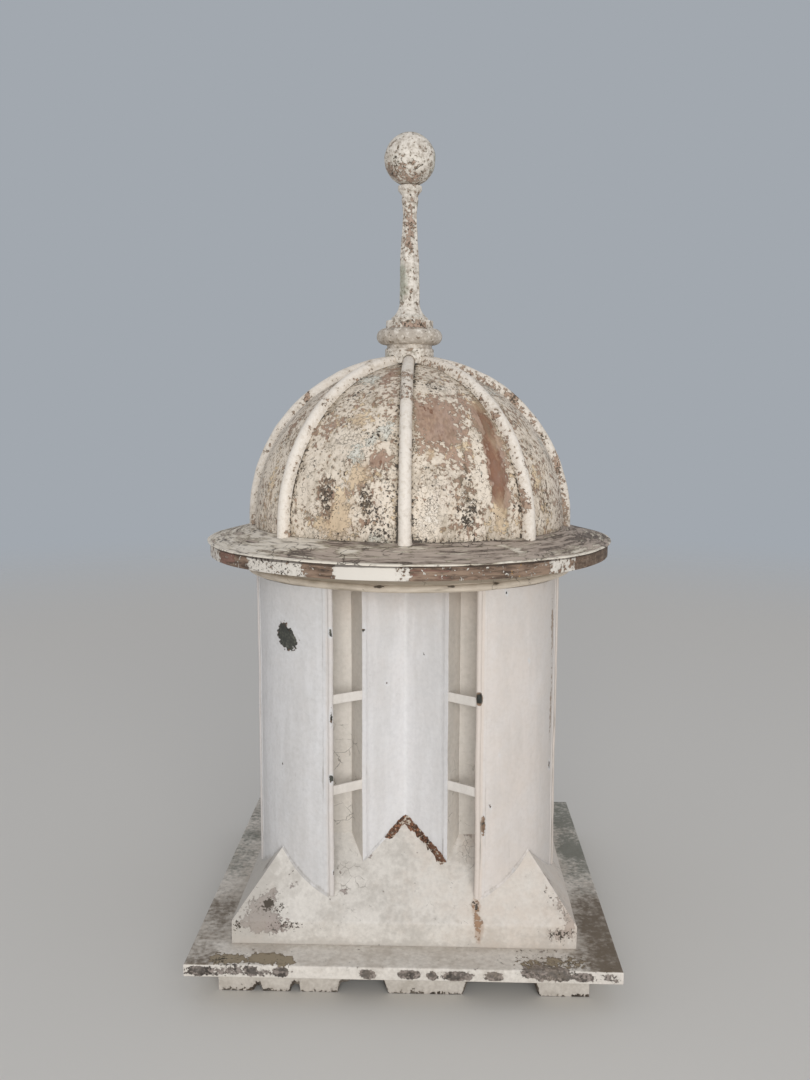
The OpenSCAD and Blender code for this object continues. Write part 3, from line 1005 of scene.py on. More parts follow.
# %% [markdown]
# A raw value decides where a layer shows. It adds broad noise, fine noise, an even cover and the
# painted weights. Cutting it sharply at zero gives ragged chips with islands and holes, and the
# distance above zero says how far a place is from the broken edge. That distance also drives the
# tone, so a coat is dirty and dark at its edge and clean further in.

# %% The raw value of a layer
def raw_value(tree, run, seed, flake, grit, cover, layers, gain=(3.0, 2.2), chip=None, chip_gain=0.9):
    """Broad and fine noise in millimetres, plus an even cover and the weights painted on the mesh.
    With a chip size, every cell of that size is kept or lost as a whole, which breaks at angles."""
    place = pattern_place(tree, run, seed)
    total = cover - 0.5 * sum(gain) - (0.5 * chip_gain if chip else 0.0)
    for size, detail, strength in ((flake, 2.0, gain[0]), (grit, 3.0, gain[1])):
        cloud = add(tree, "TexNoise", {"Vector": place, "Scale": 1 / (size * MM), "Detail": detail,
                                       "Roughness": 0.6})
        total = reckon(tree, "MULTIPLY_ADD", cloud.outputs[0], strength, total)
    if chip:
        bent = moved(tree, "ADD", place, scaled(tree, cloud.outputs["Color"], 1.4 * chip * MM))
        cell = add(tree, "TexVoronoi", {"Vector": bent, "Scale": 1 / (chip * MM)})
        total = reckon(tree, "MULTIPLY_ADD", cell.outputs["Color"], chip_gain, total)
    for layer, strength in layers.items():
        weight = add(tree, "Attribute", attribute_name=layer).outputs["Fac"]
        total = reckon(tree, "MULTIPLY_ADD", weight, strength, total)
    return total


def window(tree, value, low, high):
    """Nought below low, one above high, and smooth between."""
    return add(tree, "MapRange", {"Value": value, "From Min": low, "From Max": high},
               interpolation_type="SMOOTHSTEP").outputs[0]


def blend(tree, share, under, over):
    """A colour that goes from under to over as share goes from nought to one."""
    return add(tree, "Mix", {0: share, 6: under, 7: over}, data_type="RGBA").outputs[2]


print("a raw value above zero shows a layer")

# %% [markdown]
# Four kinds of layer are enough. A coat is paint that has flaked; one that is too thin to feel with
# a finger, such as a primer, is given no thickness. A stain only tints. Specks are small pits that
# gather in clusters, and crazing is the net of fine cracks that old paint gets.

# %% Layers of a finish
def coat(tree, below, tones, cover, flake, grit, layers=None, run="free", crisp=0.07, thick=0.0,
         rough=0.6, reach=1.0, seed=0, gain=(3.0, 2.2), chip=None, chip_gain=0.9):
    """A coat of paint that has flaked: tones are its broken edge, its dull part and its clean part."""
    raw = raw_value(tree, run, seed, flake, grit, cover, layers or {}, gain, chip, chip_gain)
    holds = window(tree, raw, -crisp, crisp)
    edge, dull, clean = (linear(tone) for tone in tones)
    colour = blend(tree, window(tree, raw, 0.1, reach), dull, clean)
    colour = blend(tree, window(tree, raw, -crisp, 0.3), edge, colour)
    height = below["height"]
    if thick:
        height = reckon(tree, "MULTIPLY_ADD", holds, thick * MM, height)
    rough = add(tree, "MapRange", {"Value": holds, "To Min": below["rough"], "To Max": rough})
    return {"colour": blend(tree, holds, below["colour"], colour), "height": height,
            "rough": rough.outputs[0]}


def stain(tree, below, tone, strength, cover, flake, grit, layers=None, run="free", soft=0.6, seed=0,
          gain=(3.0, 2.2)):
    """Dirt or weather that tints what is below it, without thickness."""
    raw = raw_value(tree, run, seed, flake, grit, cover, layers or {}, gain)
    share = reckon(tree, "MULTIPLY", window(tree, raw, -soft, soft), strength)
    return dict(below, colour=blend(tree, share, below["colour"], linear(tone)))


def specks(tree, below, tone, size, cover, layers=None, deep=0.0, seed=0, run="free"):
    """Small pits that go down to something darker, gathered here and there in clusters."""
    raw = raw_value(tree, run, seed, size * 9, size, cover, layers or {}, (1.6, 3.2))
    pit = window(tree, raw, 0.0, 0.15)
    height = below["height"]
    if deep:
        height = reckon(tree, "MULTIPLY_ADD", pit, -deep * MM, height)
    return {"colour": blend(tree, pit, below["colour"], linear(tone)), "height": height,
            "rough": below["rough"]}


def crazing(tree, below, tone, cell, wide, cover, strength=0.8, layers=None, seed=0):
    """Fine cracks in a net of cells, which open only in some areas."""
    place = pattern_place(tree, "free", seed)
    warp = add(tree, "TexNoise", {"Vector": place, "Scale": 1 / (cell * MM), "Detail": 3.0})
    bent = moved(tree, "ADD", place, scaled(tree, warp.outputs["Color"], cell * 0.9 * MM))
    net = add(tree, "TexVoronoi", {"Vector": bent, "Scale": 1 / (cell * MM)},
              feature="DISTANCE_TO_EDGE")
    line = window(tree, net.outputs["Distance"], wide / cell, 0.0)
    raw = raw_value(tree, "free", seed + 1, cell * 4, cell, cover, layers or {})
    crack = reckon(tree, "MULTIPLY", line, window(tree, raw, 0.0, 0.35))
    share = reckon(tree, "MULTIPLY", crack, strength)
    return dict(below, colour=blend(tree, share, below["colour"], linear(tone)))


print("layers: coat, stain, specks and crazing")

# %% [markdown]
# A finish starts from its ground, which is old zinc or rust with a mottle of three tones. The
# layers go on in order. At the end the summed height becomes a bump with a distance of one, which
# keeps it in metres: a coat of paint a third of a millimetre thick really is that thick.

# %% A finish from its layers
def weathered(name, ground, layers, brush=0.03, run="free", ground_rough=0.75):
    """A material made of a mottled ground and layers, each a (function, settings) pair."""
    finish = bpy.data.materials.new(name)
    finish.use_nodes = True
    tree = finish.node_tree
    shader = tree.nodes["Principled BSDF"]
    raw = raw_value(tree, "free", 3, 26, 4, 0.0, {})
    dark, middle, pale = (linear(tone) for tone in ground)
    colour = blend(tree, window(tree, raw, -0.6, 0.1), dark, middle)
    colour = blend(tree, window(tree, raw, 0.05, 0.8), colour, pale)
    grain = reckon(tree, "MULTIPLY", raw, 0.12 * MM)
    top = {"colour": colour, "height": grain, "rough": ground_rough}
    for number, (layer, settings) in enumerate(layers):
        top = layer(tree, top, seed=number + 5, **settings)
    strokes = add(tree, "TexNoise", {"Vector": pattern_place(tree, run, 2), "Scale": 1 / (2.5 * MM),
                                     "Detail": 2.0})
    height = reckon(tree, "MULTIPLY_ADD", strokes.outputs[0], brush * MM, top["height"])
    bump = add(tree, "Bump", {"Height": height, "Distance": 1.0, "Strength": 1.0})
    tree.links.new(top["colour"], shader.inputs["Base Color"])
    tree.links.new(top["rough"], shader.inputs["Roughness"])
    tree.links.new(bump.outputs[0], shader.inputs["Normal"])
    return finish


def wear(piece, finish):
    """Give a piece its finish."""
    piece.data.materials.clear()
    piece.data.materials.append(finish)


print("finishes are stacks of layers on a ground")

# %% [markdown]
# ## White oil paint on the baffles
# Real material: linseed oil paint, brushed in several coats over zinc-coated sheet. Fresh gloss has
# long gone chalky, so it is matt and even, with faint upright brush strokes. Where it has chipped,
# a dirty rim and dark grey zinc show. The right side of the body is tinted warmer, partly yellowed
# paint and partly painted warm light, and the sheets are warmer towards the top under the neck.

# %% Baffle paint
def body_paint(name, clean, dull, edge, bare_ground, crackle, dirt):
    """White oil paint on sheet: chips show a thin brown primer and then the dark metal."""
    return weathered(name, bare_ground, [
        (coat, dict(tones=("#3f332a", "#5f4c3d", "#806752"), cover=1.0, flake=14, grit=3, chip=5,
                    layers={"bare": -1.45, "rust": 0.5}, rough=0.8)),
        (coat, dict(tones=(edge, dull, clean), cover=1.95, flake=34, grit=6, chip=5, reach=3.0,
                    layers={"bare": -2.8, "rust": -2.2}, thick=0.5, rough=0.58, gain=(2.0, 4.6))),
        # A warm tint: on the right side partly yellowed paint and partly painted warm light; also
        # warmer under the neck.
        (stain, dict(tone="#d8c4b0", strength=0.55, cover=-1.0, flake=120, grit=20,
                     layers={"warm": 1.5, "bare": -3.0}, soft=1.5, gain=(1.6, 1.0))),
        # This grey stain paints shade under the neck and towards the sides, mixed with some dirt.
        (stain, dict(tone="#a6a29b", strength=0.2, cover=-0.2, flake=60, grit=12, run="down",
                     layers={"grime_and_shade": 1.4, "bare": -3.0})),
        (stain, dict(tone="#8d8578", strength=0.45, cover=-1.2, flake=30, grit=6,
                     layers={"foot": 1.6})),
        # A darker stain along the creases: a painted shadow line beside the hems and the wired edges.
        (stain, dict(tone="#8a8378", strength=0.75, cover=-1.3, flake=40, grit=7, run="down",
                     layers={"crease": 1.9}, soft=0.5)),
        (stain, dict(tone="#8f7c66", strength=0.6, cover=-1.9, flake=40, grit=7, run="down",
                     layers={"rust": 0.9, "grime_and_shade": 0.5})),
        (crazing, dict(tone="#6f665b", cell=24, wide=0.65, cover=crackle, strength=0.7,
                       layers={"craze": 1.0})),
        (specks, dict(tone="#6d655a", size=3.2, cover=dirt, layers={"bare": 0.3, "dirt": 1.0})),
    ], brush=0.05, run="down")


zinc = ("#242520", "#3d3e38", "#5f5f55")
baffle_paint = body_paint("chalky_linseed_paint_on_zinc_sheet", "#dcdad9", "#d0cecc", "#9c948b",
                          zinc, -1.3, -1.75)
vee_paint = body_paint("chalky_linseed_paint_in_the_vee", "#e2e0df", "#d8d6d5", "#a39b93",
                       zinc, -1.2, -1.8)
inner_paint = body_paint("dull_cream_linseed_paint_in_shade", "#dfd8ce", "#d0c9be", "#8f877c",
                         zinc, -0.6, -1.5)
brace_paint = body_paint("chalky_linseed_paint_on_flat_bar", "#e4ded6", "#dad3ca", "#8f8072",
                         ("#4b3a2e", "#6a5140", "#806450"), -0.9, -1.5)

for corner in CORNERS:
    wear(corner_sheets[corner], baffle_paint)
for side in SIDES:
    wear(vee_sheets[side], vee_paint)
    wear(inner_sheets[side], inner_paint)
wear(lid, inner_paint)
wear(braces, brace_paint)
print("body finishes:", baffle_paint.name, vee_paint.name, inner_paint.name)

# %% [markdown]
# ## Crazed paint on the plinth, dirty paint on the flange
# The sloping plinth holds rain, so its paint has crazed and gone pitted, and whole flakes have come
# off a purple-grey undercoat. The flange lies flat and is worse: silt lies on it, and its front
# edge has flaked down to nearly black zinc. The skirt is thick with paint and only soiled, with
# painted shade along its top under the flange. Painted shade, with some dirt, also darkens the
# plinth at its foot and on its left side, and the flange along the foot of the plinth.

# %% Plinth, flange and skirt paint
plinth_paint = weathered("crazed_linseed_paint_on_plinth", ("#24211d", "#3b3731", "#544e45"), [
    (coat, dict(tones=("#574c45", "#8d8179", "#a59992"), cover=1.05, flake=16, grit=5, chip=4,
                layers={"rust": -1.2}, rough=0.75, gain=(2.4, 4.0))),
    (coat, dict(tones=("#3f2c1e", "#664933", "#8a674b"), cover=-2.0, flake=12, grit=4,
                layers={"rust": 2.9}, rough=0.85, gain=(2.0, 4.4))),
    (coat, dict(tones=("#7a7066", "#cfc9c0", "#dcd6cd"), cover=1.6, flake=26, grit=5, chip=4,
                reach=2.8, layers={"bare": -2.5, "rust": -1.6}, thick=0.5, rough=0.62,
                gain=(2.6, 4.6))),
    # Grey stain: painted shade at the foot and on the left side of the plinth, with dirt.
    (stain, dict(tone="#a39c92", strength=0.5, cover=-0.3, flake=70, grit=9,
                 layers={"grime_and_shade": 1.4})),
    # A warm tint on the right side: partly yellowed paint, partly painted warm light.
    (stain, dict(tone="#cdb9a6", strength=0.45, cover=-0.9, flake=90, grit=14, layers={"warm": 1.3},
                 soft=1.3)),
    (stain, dict(tone="#a07c5c", strength=0.45, cover=-1.7, flake=24, grit=6, run="down",
                 layers={"rust": 2.2})),
    (crazing, dict(tone="#6f665b", cell=14, wide=0.5, cover=-0.85, strength=0.6,
                   layers={"craze": 1.0})),
    (specks, dict(tone="#4b4339", size=3.4, cover=-1.05, layers={"bare": 0.45, "dirt": 1.0})),
], brush=0.08)

flange_paint = weathered("silted_linseed_paint_on_flange", ("#3b352f", "#5d5650", "#7b736c"), [
    (coat, dict(tones=("#544b43", "#7d736b", "#978c85"), cover=0.25, flake=12, grit=5, chip=5,
                layers={"bare": -0.14}, rough=0.8, gain=(2.4, 4.0))),
    (coat, dict(tones=("#6f665c", "#cfc8be", "#e0d9cf"), cover=1.45, flake=26, grit=5, chip=5,
                reach=2.4, layers={"bare": -2.4}, thick=0.55, rough=0.66, gain=(2.6, 4.6))),
    # Grey-brown stain: dirt on the top, and painted shade along the foot of the plinth.
    (stain, dict(tone="#9c8e7d", strength=0.42, cover=-0.3, flake=70, grit=9,
                 layers={"grime_and_shade": 1.3})),
    (stain, dict(tone="#5a4a34", strength=0.9, cover=-1.25, flake=60, grit=8, layers={"mud": 2.0},
                 soft=0.9, gain=(2.2, 2.4))),
    (stain, dict(tone="#5d6155", strength=0.8, cover=-1.5, flake=60, grit=8, layers={"moss": 2.0},
                 soft=0.8, gain=(2.4, 3.0))),
    (coat, dict(tones=("#43372a", "#837560", "#978a74"), cover=-1.6, flake=20, grit=5, chip=5,
                layers={"silt": 2.0}, thick=0.3, rough=0.9, gain=(2.2, 3.2))),
    (crazing, dict(tone="#6f675d", cell=12, wide=0.4, cover=-0.8, strength=0.5)),
    (specks, dict(tone="#4b4337", size=3.4, cover=-1.05,
                  layers={"bare": 0.15, "dirt": 1.0, "silt": 0.45})),
], brush=0.08)

skirt_paint = weathered("thick_linseed_paint_on_rusted_skirt", ("#261e17", "#3b3025", "#544637"), [
    (coat, dict(tones=("#6e6152", "#bdb5ab", "#cdc6bc"), cover=1.7, flake=22, grit=5, chip=4,
                reach=2.6, layers={"bare": -2.6}, thick=0.55, rough=0.6, gain=(2.4, 4.6))),
    # Grey stain: painted shade along the top of the skirt, under the flange.
    (stain, dict(tone="#a0978a", strength=0.5, cover=-0.4, flake=40, grit=8,
                 layers={"grime_and_shade": 1.3})),
    (specks, dict(tone="#5d5347", size=3.2, cover=-1.3)),
], brush=0.08)

for side in SIDES:
    wear(plinth[side], plinth_paint)
wear(flange, flange_paint)
wear(skirt, skirt_paint)
print("base finishes:", plinth_paint.name, flange_paint.name, skirt_paint.name)

# %% [markdown]
# ## Rust
# Real material: rusted solder joint on iron sheet, flaky and dry. Rust is rough and takes the light
# evenly, brown where it is thick and orange where it is fresh, and a few flakes of the white paint
# still cling to it.

# %% Rust
rust_finish = weathered("flaky_iron_rust", ("#33231a", "#5d402f", "#7d5a45"), [
    (coat, dict(tones=("#6f4a35", "#8b6048", "#a07458"), cover=-0.2, flake=9, grit=4, thick=0.3,
                rough=0.9, gain=(2.0, 4.0))),
    (coat, dict(tones=("#4d3a2c", "#b9a996", "#d5cabd"), cover=-0.35, flake=7, grit=4, chip=4,
                thick=0.5, rough=0.7, gain=(2.0, 4.4))),
    (specks, dict(tone="#231812", size=3.4, cover=-0.45, deep=0.6)),
], brush=0.3, ground_rough=0.9)
wear(rust_seam, rust_finish)
print("rust:", rust_finish.name)

# %% [markdown]
# ## Worn layers on the dome
# The sun and rain fall hardest on the dome, and every coat that it ever had can be seen there:
# grey zinc dark with lichen, a pink-brown primer, patches of red lead, an ochre undercoat and lacy
# remains of cream, all drawn out down the gores. The painted weights say which coat shows where.

# %% Dome paint
dome_paint = weathered("linseed_paint_worn_through_on_dome", ("#4b4035", "#6b5f50", "#897d6c"), [
    (coat, dict(tones=("#785f4e", "#9d8370", "#ae9380"), cover=0.8, flake=40, grit=7, chip=6,
                run="meridian", layers={"dark": -1.5, "pink": 1.2}, crisp=0.16, rough=0.75,
                gain=(2.4, 3.4))),
    (coat, dict(tones=("#664330", "#7d5742", "#8d6751"), cover=-1.65, flake=26, grit=6,
                run="meridian", layers={"red": 2.3}, crisp=0.25, rough=0.8, gain=(2.2, 4.2))),
    (stain, dict(tone="#7d5f4b", strength=0.5, cover=-0.3, flake=18, grit=4, run="meridian",
                 layers={"pink": 0.5}, gain=(2.6, 4.0))),
    (stain, dict(tone="#c2a287", strength=0.45, cover=-0.45, flake=14, grit=4, run="meridian",
                 layers={"pink": 0.3, "red": -0.4}, gain=(2.6, 4.0))),
    (coat, dict(tones=("#a38a6b", "#dac3a1", "#e8d3b4"), cover=-0.3, flake=34, grit=7, chip=6,
                run="meridian", layers={"ochre": 1.7, "dark": -1.1, "red": -2.0, "pink": -0.9},
                crisp=0.1, rough=0.7, gain=(2.6, 3.4))),
    (coat, dict(tones=("#6b5d4b", "#d3c4b0", "#e7dac8"), cover=0.5, flake=22, grit=6, chip=5,
                layers={"cream": 1.3, "dark": -0.5, "red": -1.7, "pink": -1.15, "ochre": -0.9},
                thick=0.6, rough=0.65, gain=(2.6, 4.4))),
    (coat, dict(tones=("#7f796b", "#cac7b9", "#dfdbcf"), cover=-0.95, flake=16, grit=5, chip=4,
                layers={"pale": 1.7, "red": -1.8, "pink": -0.6}, thick=0.6, rough=0.7,
                gain=(2.6, 4.2))),
    (stain, dict(tone="#c3aa8c", strength=0.55, cover=-0.75, flake=40, grit=8, run="meridian",
                 layers={"cream": -0.3, "ochre": 1.5, "pink": -0.4})),
    (stain, dict(tone="#a3908a", strength=0.4, cover=-0.7, flake=50, grit=8, run="meridian",
                 layers={"cream": -0.3, "pink": 0.3}, soft=0.8)),
    (crazing, dict(tone="#574b3e", cell=7, wide=0.7, cover=-0.1, strength=0.65,
                   layers={"cream": 0.7, "pink": -1.0, "red": -1.0})),
    # Darker beside each roll and at the foot of the dome: painted shadow in the crease, with dirt.
    (stain, dict(tone="#84765f", strength=0.5, cover=-0.45, flake=26, grit=5, run="meridian",
                 layers={"crease": 1.6})),
    (specks, dict(tone="#4a4136", size=4.0, cover=-0.5,
                  layers={"dark": 0.5, "cream": 0.15, "pink": -0.7, "red": -0.7, "crease": 0.7})),
    # Small cream-white flakes last: partly paint, partly painted highlights where curled flakes catch
    # light.
    (coat, dict(tones=("#a39684", "#dfd4c4", "#ece3d6"), cover=-1.1, flake=30, grit=4.5,
                layers={"dark": 0.6, "cream": 0.7, "pink": -0.5, "red": -0.6}, thick=0.5,
                rough=0.65, gain=(2.6, 4.6))),
], brush=0.1, run="meridian")
for gore in gores:
    wear(gore, dome_paint)
print("dome finish:", dome_paint.name)

# %% [markdown]
# ## Cream paint on the rolls
# The rolls stand proud, so brushes loaded them well. Most of the cream is still there. It has
# chipped along both edges and is dark in the creases beside the gores.

# %% Roll paint
roll_paint = weathered("cream_linseed_paint_on_rolls", ("#4f463b", "#786c5f", "#937d6c"), [
    (coat, dict(tones=("#7d6151", "#9f8674", "#b09884"), cover=0.55, flake=20, grit=6,
                layers={"bare": 0.2}, rough=0.75, gain=(2.4, 4.0))),
    (coat, dict(tones=("#7d6f5f", "#dbd0c1", "#eae1d5"), cover=1.3, flake=22, grit=5, chip=5,
                reach=1.8, layers={"bare": -2.0}, thick=0.6, rough=0.6, gain=(2.4, 4.6))),
    (stain, dict(tone="#9c8d79", strength=0.55, cover=-0.6, flake=30, grit=6,
                 layers={"grime_and_shade": 1.6})),
    (specks, dict(tone="#584d40", size=3.6, cover=-0.8, layers={"bare": 0.7})),
], brush=0.1)
for roll in rolls:
    wear(roll, roll_paint)
print("roll finish:", roll_paint.name)

# %% [markdown]
# ## The brim, the fascia and the neck
# The brim lies almost flat and has lost nearly all its paint: a grey-brown, faintly purple primer
# is left, scratched round and round. The fascia below is mostly brown undercoat with crisp islands
# of white. The neck is sheltered and keeps a beige coat with a few dark cracks.

# %% Brim, fascia and neck paint
brim_paint = weathered("scoured_primer_on_brim", ("#554a41", "#766a5f", "#8f8377"), [
    (coat, dict(tones=("#5f5246", "#a99a8d", "#bfb0a2"), cover=0.5, flake=22, grit=6, chip=8,
                run="round", layers={"dark": -1.2}, crisp=0.08, thick=0.8, rough=0.72,
                gain=(2.6, 3.6))),
    (coat, dict(tones=("#75694f", "#c6bba8", "#e6ddce"), cover=-0.4, flake=24, grit=5, chip=6,
                run="round", layers={"cream": 1.8, "dark": -0.8}, thick=1.0, rough=0.66,
                gain=(2.6, 4.2))),
    (stain, dict(tone="#5c4d41", strength=0.65, cover=-0.5, flake=14, grit=4, run="round", soft=0.4,
                 gain=(2.6, 4.0))),
    (crazing, dict(tone="#41362c", cell=20, wide=1.2, cover=0.0, strength=0.85)),
    (specks, dict(tone="#453b32", size=3.4, cover=-0.7, run="round")),
], brush=0.15, run="round")

fascia_paint = weathered("flaking_white_over_brown_undercoat", ("#473a31", "#6a5848", "#857363"), [
    (coat, dict(tones=("#4f3d31", "#7b6554", "#937c69"), cover=0.55, flake=14, grit=5, chip=5,
                run="round", layers={"dark": -1.3}, rough=0.78, gain=(2.4, 3.8))),
    (coat, dict(tones=("#664639", "#7a5a4c", "#8a695b"), cover=-1.5, flake=18, grit=5, run="round",
                layers={"red": 2.2}, crisp=0.2, rough=0.78, gain=(2.4, 3.8))),
    (coat, dict(tones=("#96764a", "#ad8757", "#bd9360"), cover=-2.0, flake=9, grit=4,
                layers={"orange": 2.0}, rough=0.8, gain=(2.4, 3.8))),
    (coat, dict(tones=("#8d8172", "#d0c9be", "#dfd8cd"), cover=-0.8, flake=16, grit=5, chip=5,
                reach=1.2, layers={"white": 2.6, "dark": -1.4}, thick=0.6, rough=0.6,
                gain=(2.4, 4.6))),
    (stain, dict(tone="#4a3a2e", strength=0.7, cover=-0.35, flake=12, grit=4, run="round",
                 layers={"white": -1.2}, soft=0.4, gain=(2.4, 4.2))),
    (specks, dict(tone="#40352b", size=3.6, cover=-0.65, layers={"dark": 0.3, "speck": 1.4})),
    # A painted shadow line along the top of the fascia, under the lip of the brim.
    (stain, dict(tone="#3c3027", strength=0.8, cover=-1.2, flake=20, grit=6, run="round",
                 layers={"seam": 1.9}, soft=0.4)),
], brush=0.12, run="round")

neck_paint = weathered("beige_linseed_paint_on_moulding", ("#3a3229", "#554a3f", "#6f6457"), [
    (coat, dict(tones=("#776c5e", "#c9bba9", "#dacdbb"), cover=1.7, flake=30, grit=6, chip=5,
                run="round", layers={"bare": -2.6}, thick=0.5, rough=0.62, reach=2.2,
                gain=(2.4, 4.4))),
    # Painted shade under the brim, on the neck and on the soffit.
    (stain, dict(tone="#7a6c57", strength=0.65, cover=-0.6, flake=22, grit=5, run="round",
                 layers={"grime_and_shade": 1.4})),
    (crazing, dict(tone="#52483c", cell=22, wide=0.7, cover=-0.25)),
    (specks, dict(tone="#4d4338", size=3.4, cover=-1.1, run="round")),
], brush=0.1, run="round")

wear(brim, brim_paint)
wear(fascia, fascia_paint)
wear(neck, neck_paint)
wear(soffit, neck_paint)
print("cap finishes:", brim_paint.name, fascia_paint.name, neck_paint.name)

# %% [markdown]
# ## Lichen and old white on the finial
# The highest piece is never touched. Its white has gone mottled and pitted, with a green-grey
# lichen on the shady side and brown earth colour where the paint has perished altogether.

# %% Finial paint
finial_paint = weathered("lichened_linseed_paint_on_finial", ("#4c4236", "#6f6151", "#8b7764"), [
    (coat, dict(tones=("#7d6957", "#a28a78", "#b39b8a"), cover=0.3, flake=12, grit=5, chip=4,
                layers={"brown": 0.6}, crisp=0.12, rough=0.8, gain=(2.4, 4.0))),
    (coat, dict(tones=("#7b705f", "#d2c9bb", "#e8e0d4"), cover=0.75, flake=12, grit=5, chip=4,
                reach=1.4, layers={"brown": -1.5}, thick=0.6, rough=0.66, gain=(2.6, 4.6))),
    (stain, dict(tone="#8a917d", strength=0.65, cover=-0.85, flake=22, grit=6,
                 layers={"lichen": 1.9})),
    (stain, dict(tone="#857563", strength=0.6, cover=-0.3, flake=12, grit=4,
                 layers={"crease": 1.2})),
    (specks, dict(tone="#4d4336", size=4.0, cover=-0.55, layers={"brown": 0.5})),
], brush=0.12)
for piece in (collar, spindle, ball):
    wear(piece, finial_paint)
print("finial finish:", finial_paint.name)

# %% [markdown]
# ## Painting the wear: tools
# Now the weights go on, piece by piece. A chip in the paint is a small strong dab of bare; a run of
# rust is a few dabs one under the other. Sides that nobody walks past get scattered dabs from a
# seeded generator, of the same kinds and sizes as the front has. Wear that follows an edge is a
# formula instead: it fades with the distance from that edge, or draws a soft line beside it.

# %% Ways to place wear
def dabs_at(place, rows):
    """Dabs from rows that hold what place asks for, then across and up in mm, and a strength."""
    return [(place(*where), across * MM, up * MM, strength) for *where, across, up, strength in rows]


def scattered(piece, count, seed, across, up, strength):
    """Dabs at random points of a piece, always the same ones for the same seed."""
    chance = random.Random(seed)
    points = piece.data.vertices
    dabs = []
    for _ in range(count):
        size = chance.uniform(0.5, 1.3) * MM
        place = points[chance.randrange(len(points))].co.copy()
        dabs.append((place, across * size, up * size, strength * chance.uniform(0.7, 1.2)))
    return dabs


def ramp(value, low, high):
    """Nought below low, one above high and straight between."""
    return min(1.0, max(0.0, (value - low) / (high - low)))


def fade(away, length):
    """One at an edge, and down to about a third at each length (in mm) further away."""
    return math.exp(-away / (length * MM))


def soft_line(away, half):
    """One on a line, and down to about a third at half its width (in mm) beside it."""
    return math.exp(-(away / (half * MM)) ** 2)


print("a dab of 10 mm:", dabs_at(spot, [(0, 0, 0, 10, 10, 1.0)]))

# %% [markdown]
# ## Wear of the body
# The corner sheets have chipped where ladders and hands knocked them: one bare patch at the upper
# left, small ones where a brace meets a wired edge, and a brown broken line down the right edge.
# A painted shadow line lies in the step beside each wired edge and at the root of the wire, and
# painted shade darkens the sheets under the neck and towards the right side, with some dirt.

# %% Wear of the baffles
def from_wire(point):
    """How far a place on a corner sheet lies in from its nearer wired edge, round the curve."""
    bend = abs(math.atan2(abs(point.y) - arc_centre, abs(point.x) - arc_centre) - math.pi / 4)
    return (arc_half - bend) * corner_r


def near_slope(point):
    """One where a sheet meets the plinth, and nought 10 mm above it."""
    return fade(max(0.0, point.z - slope_z(point.x, point.y)), 4)


def hem_shadow_line(point):
    """A painted shadow line, one in the step beside a wired edge and at the wire's root, nought
    elsewhere.
    """
    return (0.45 * soft_line(from_wire(point) - HEM_WIDTH, 1.2)
            + 0.65 * soft_line(from_wire(point) - WIRE_R, 1.5))


def rolled_edge(point):
    """One on the wired edge of a corner sheet, nought further in."""
    return ramp(-from_wire(point), -7 * MM, -5 * MM)


corner_chips = {
    "front_left": [(-177, -186, 507, 18, 17, 1.3), (-168, -194, 497, 18, 14, 1.2),
                   (-104, -229, 517, 4, 5, 1.6), (-104, -229, 304, 4, 5, 1.6),
                   (-103, -230, 395, 3.2, 13, 1.7)],
    "front_right": [(106, -229, 424, 4.5, 8, 2.2), (113, -224, 235, 4, 15, 0.8),
                    (218, -128, 293, 5, 6, 1.2)],
}
for number, corner in enumerate(CORNERS):
    piece = corner_sheets[corner]
    dab(piece, "bare", dabs_at(spot, corner_chips.get(corner, []))
        + scattered(piece, 7, number + 40, 3, 5, 0.8))
    # Warmer on the right side: partly yellowed paint, partly painted warm light.
    dab(piece, "warm", spread=lambda p: (0.9 if p.x > 0 else -0.1) + 0.8 * rolled_edge(p))
    # Painted shade under the neck and towards the right edge, with some dirt.
    dab(piece, "grime_and_shade", spread=lambda p: 0.9 * fade(lid_z - p.z, 30) + 0.7 * ramp(p.x, 0.17, 0.21))
    # A painted shadow line in the step beside each wired edge and at the root of the wire.
    dab(piece, "crease", spread=hem_shadow_line)
    dab(piece, "foot", spread=near_slope)
dab(corner_sheets["front_right"], "rust",
    dabs_at(spot, [(106, -229, 424, 5, 10, 0.9), (113, -224, 235, 4, 15, 1.0),
                   (219, -129, 520, 5, 45, 1.25), (219, -129, 390, 5, 70, 1.18)]))

valley_cracks = dabs_at(spot, [(12, -165, 350, 60, 16, 0.9), (-30, -175, 425, 40, 14, 0.7),
                               (20, -165, 262, 50, 12, 0.8)])
for number, side in enumerate(SIDES):
    vee, inner = vee_sheets[side], inner_sheets[side]
    dab(vee, "bare", scattered(vee, 4, number + 60, 3, 4, 0.9))
    # Painted shade on the vee under the neck.
    dab(vee, "grime_and_shade", spread=lambda p: 0.7 * fade(lid_z - p.z, 30))
    dab(vee, "warm", spread=lambda p: 1.3 * fade(lid_z - p.z, 40) - 0.1)
    # A painted shadow line in the step of the vee's hem.
    dab(vee, "crease",
        spread=lambda p: 0.4 * soft_line(vee_x - min(abs(p.x), abs(p.y)) - VEE_HEM, 1.2))
    dab(vee, "foot", spread=near_slope)
    dab(vee, "craze", valley_cracks)
    dab(inner, "bare", scattered(inner, 5, number + 70, 4, 5, 1.0))
    # Painted shade on the inner sheets under the lid.
    dab(inner, "grime_and_shade", spread=lambda p: 0.8 * fade(lid_z - p.z, 60))
    dab(inner, "warm", spread=lambda p: 1.4 * fade(lid_z - p.z, 50))
    dab(inner, "craze", spread=lambda p: 0.8 * soft_line(p.z - 0.25, 90))
print("chips on the corner sheets:", {corner: len(rows) for corner, rows in corner_chips.items()})

